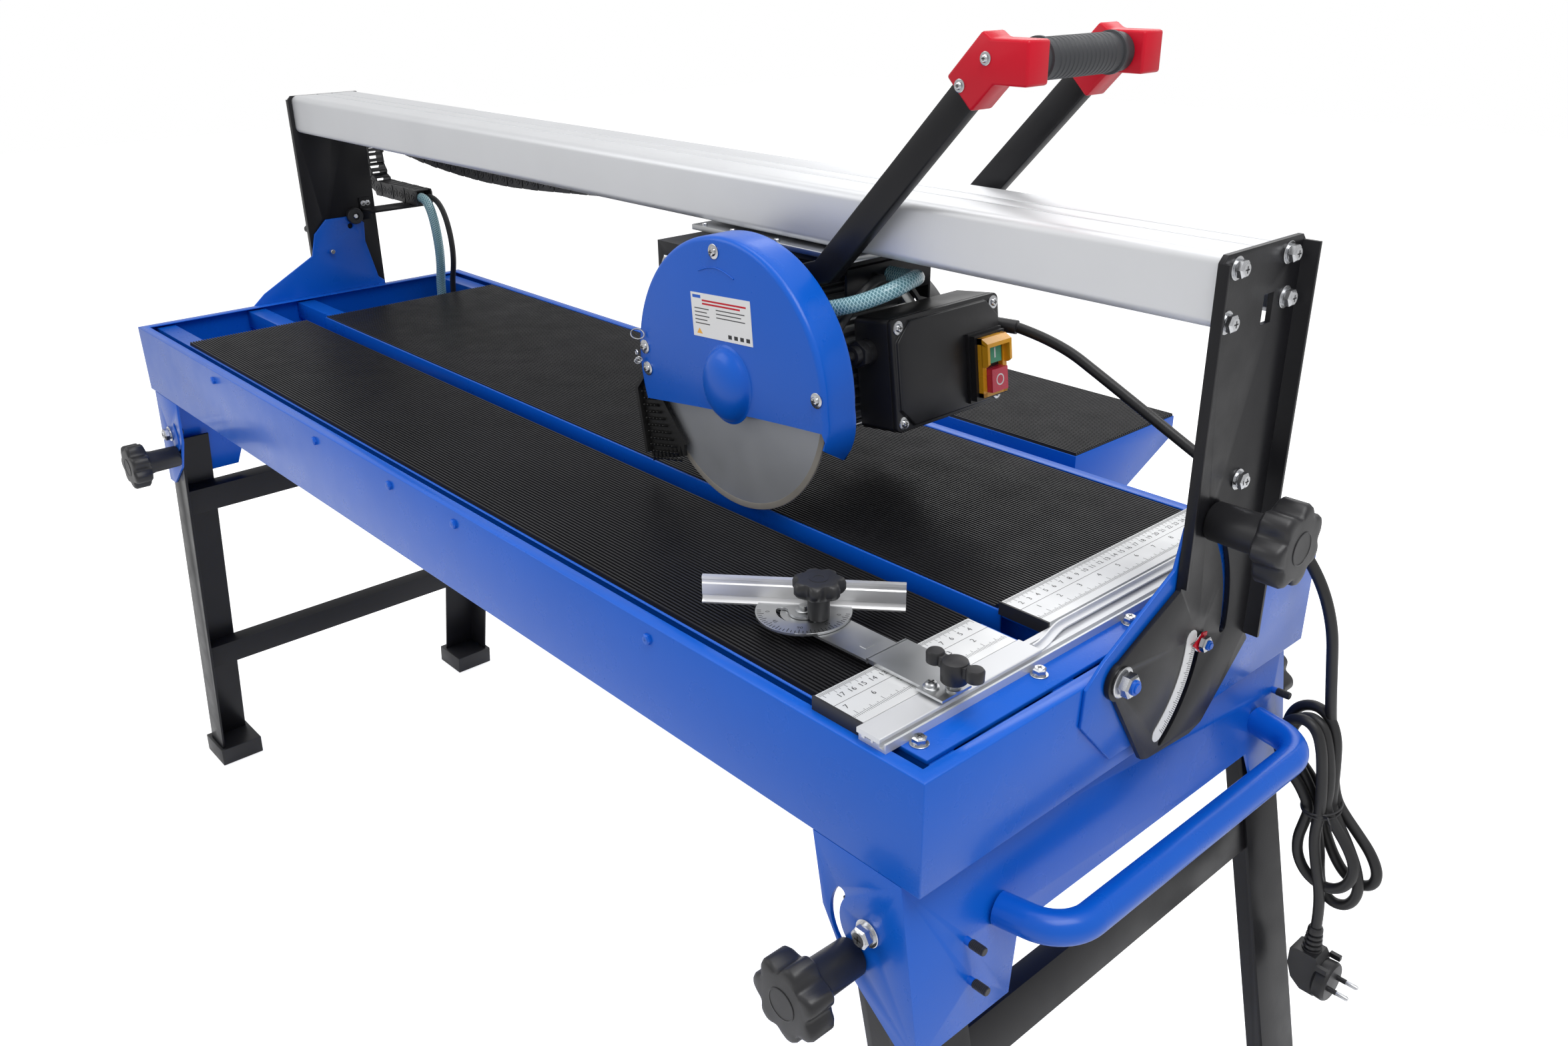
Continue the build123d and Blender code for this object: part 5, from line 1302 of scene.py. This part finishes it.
def build_tilt_scale():
    """Curved scale beside the pointer's slot with its degree marks, and the red pointer."""
    bm = bmesh.new()
    for side in (1, -1):
        face = side * PLATE_FACE
        inner, outer, middle, half = 82.2, 95.8, 89.0, 6.8
        band = [turned_x(PIVOT, outer, a) for a in range(-50, 1, 2)]
        band += [turned_x(turned_x(PIVOT, middle, 0), half, a) for a in range(20, 161, 20)]
        band += [turned_x(PIVOT, inner, a) for a in range(0, -51, -2)]
        band += [turned_x(turned_x(PIVOT, middle, -50), half, a) for a in range(150, 291, 20)]
        prism(bm, [(face, p.x, p.y) for p in band], (side * 0.5, 0, 0))
        for degree in range(0, 46):
            long = 7.0 if degree % 5 == 0 else 4.6
            start = turned_x(PIVOT, outer - 0.6, -degree - 3)
            end = turned_x(PIVOT, outer - 0.6 - long, -degree - 3)
            across = Vector((-(end - start).y, (end - start).x)).normalized() * 0.24
            mark = (start - across, end - across, end + across, start + across)
            prism(bm, [(face + side * 0.5, p.x, p.y) for p in mark], (side * INK_THICK, 0, 0), 1)
            if degree % 15 == 0 and side > 0:
                place = turned_x(PIVOT, inner + 2.6, -degree - 3)
                out = (place - Vector(PIVOT)).normalized()
                letters(bm, str(degree), (face + 0.5, place.x, place.y), (0, -out.y, out.x),
                        (0, out.x, out.y), 4.4, 1)
    finish_mesh(bm, "tilt_scales", [SCALE, DARK_PRINT_AND_RECESS_SHADE], "bridge")
    bm = bmesh.new()
    for side in (1, -1):
        body = ((101, -8.6), (107, -8.0), (107, 0.0), (101, 0.6), (90, -4))
        outline = [turned_x(PIVOT, radius, a) for radius, a in body]
        prism(bm, [(side * 727.4, p.x, p.y) for p in outline], (side * 1.0, 0, 0))
    finish_mesh(bm, "tilt_pointers", RED, "base")


def build_stop_wheel():
    """Round rubber stop on the inside of the left post, with the screws there."""
    bm = bmesh.new()
    lathe(bm, (-722, 127, 106), (1, 0, 0),
          [(0, 10.5), (1.5, 12), (9, 12), (10.5, 11), (10.5, 5.5), (9.0, 5), (9.0, 0)], 32)
    finish_mesh(bm, "tilt_stop", PLASTIC, "bridge")
    bm = bmesh.new()
    lathe(bm, (-713.4, 127, 106), (1, 0, 0), [(0, 3.4), (2.0, 3.4), (2.6, 2.8)], 6)
    for y in (144, 151):
        pan_screw(bm, (-719, y, 122), (1, 0, 0), 2.2)
    lathe(bm, (-715, 83, 60), (1, 0, 0), [(0, 3.4), (6, 3.4), (6.6, 2.8)], 20)
    finish_mesh(bm, "left_post_screws", [ZINC, DARK_PRINT_AND_RECESS_SHADE], "bridge", smooth=28)


# --- carriage and handle ----------------------------------------------------
def build_carriage_hardware():
    """Screws of the carriage plate and the hinge bar with its end nuts."""
    bm = bmesh.new()
    for y in (58.5, 164.5):
        for x in (200, 240, 300, 380):
            hex_bolt(bm, (x, y, 226.6), (0, 0, 1), 1.5)
    rod(bm, (190, 22, 196), (190, 168, 196), 6, 28, 0.8)
    nut(bm, (190, 24, 196), (0, -1, 0), 8.6, 4.2, 0)
    nut(bm, (190, 165, 196), (0, 1, 0), 8.6, 4.2, 0)
    finish_mesh(bm, "carriage_screws", [ZINC, DARK_PRINT_AND_RECESS_SHADE], "carriage", smooth=28, replaces=("carriage_fasteners",))


def build_grip():
    """Foam grip with its ribs and end collars."""
    bm = bmesh.new()
    radius = 14.0
    profile = [(0, radius - 0.6), (1, radius), (110, radius), (111, radius - 0.6)]
    for start in (12.0, 97.0):
        profile += [(start, radius), (start + 0.6, 15.6), (start + 3.4, 15.6), (start + 4.0, radius)]
    for k in range(14):
        start = 22 + k * 5.0
        profile += [(start, radius), (start + 0.7, 14.5), (start + 3.6, 14.5), (start + 4.3, radius)]
    lathe(bm, (560, 56, 389), (0, 1, 0), sorted(profile), 40)
    finish_mesh(bm, "grip_sleeve", GRIP, "head", smooth=35, replaces=("handle_grip",))


def build_corner_screws():
    """Screws through the red handle corners."""
    bm = bmesh.new()
    for y, way in ((32, -1), (191, 1)):
        for x, z in ((523, 372), (545, 391)):
            pan_screw(bm, (x, y, z), (0, way, 0), 2.6)
    finish_mesh(bm, "corner_screws", [ZINC, DARK_PRINT_AND_RECESS_SHADE], "head", smooth=28)


def build_studs_and_tie():
    """Black caps on the end plates' studs and the wire tie round the hank."""
    bm = bmesh.new()
    for side in (1, -1):
        for y, z in ((-145, -159), (-145, -191), (268, -135)):
            x = 702 + 20 * (-89 - z) / 136
            rod(bm, (side * (x + 4), y, z), (side * (x + 16.4), y, z), 3.3, 18, 0.5)
            for k in range(8):
                start = side * (x + 5 + 1.3 * k)
                lathe(bm, (start, y, z), (side, 0, 0), [(0, 3.3), (0.3, 3.6), (0.6, 3.3)], 18)
    finish_mesh(bm, "stud_caps", PLASTIC, "base")
    bm = bmesh.new()
    for height, turn in ((-227, 0.10), (-229.5, -0.06)):
        loop = [(767.5 + 15.5 * cos(2 * pi * k / 48), 271.5 + 20.5 * sin(2 * pi * k / 48),
                 height + turn * 15 * cos(2 * pi * k / 48)) for k in range(48)]
        sweep(bm, loop, 1.0, 8, closed=True)
    sweep(bm, [(778, 254, -226), (783, 250, -223), (787, 247, -226), (789, 246, -231)], 1.0, 8)
    finish_mesh(bm, "hank_tie", PLASTIC, "base")


build_studs_and_tie()
build_chain()
build_tilt_scale()
build_stop_wheel()
build_carriage_hardware()
build_grip()
build_corner_screws()


# --- CAD shapes kept, with rounded edges -------------------------------------
# Each node's edge radius in mm and its finish.
SOFT_EDGES = {
    "tray": (1.2, BLUE), "fence_plate": (0.8, BLUE), "bevel_plates": (0.8, BLUE), "end_brackets": (0.9, BLUE),
    "extension_frame": (0.9, BLUE), "table_frame": (0.8, BLUE_SMOOTH),
    "left_legs": (1.0, BLACK), "right_legs": (1.0, BLACK),
    "left_post": (1.2, BLACK), "right_post": (1.2, BLACK),
    "motor_yoke": (0.8, BLACK), "head_frame": (1.0, BLACK), "handle_bars": (1.6, BLACK),
    "left_feet": (3.0, PLASTIC), "right_feet": (3.0, PLASTIC), "rail": (0.5, ALUMINIUM),
    "fan_cover": (1.5, PLASTIC), "switch_box": (1.0, BOX_PLASTIC),
    "switch_box_cover": (1.2, BOX_PLASTIC), "handle_corners": (3.0, RED), "carriage_plate": (0.6, ZINC_SHEET),
    "water_pump": (1.5, PLASTIC), "cable_glands": (0.5, PLASTIC), "arbor": (0.5, ZINC),
    "rollers_1": (0.5, PLASTIC), "rollers_2": (0.5, PLASTIC)}
for name, (width, material) in SOFT_EDGES.items():
    soften(name, width, material)

handle_mesh = frame["nodes"]["carry_handle"].data
handle_mesh.materials.clear()
handle_mesh.materials.append(BLUE)
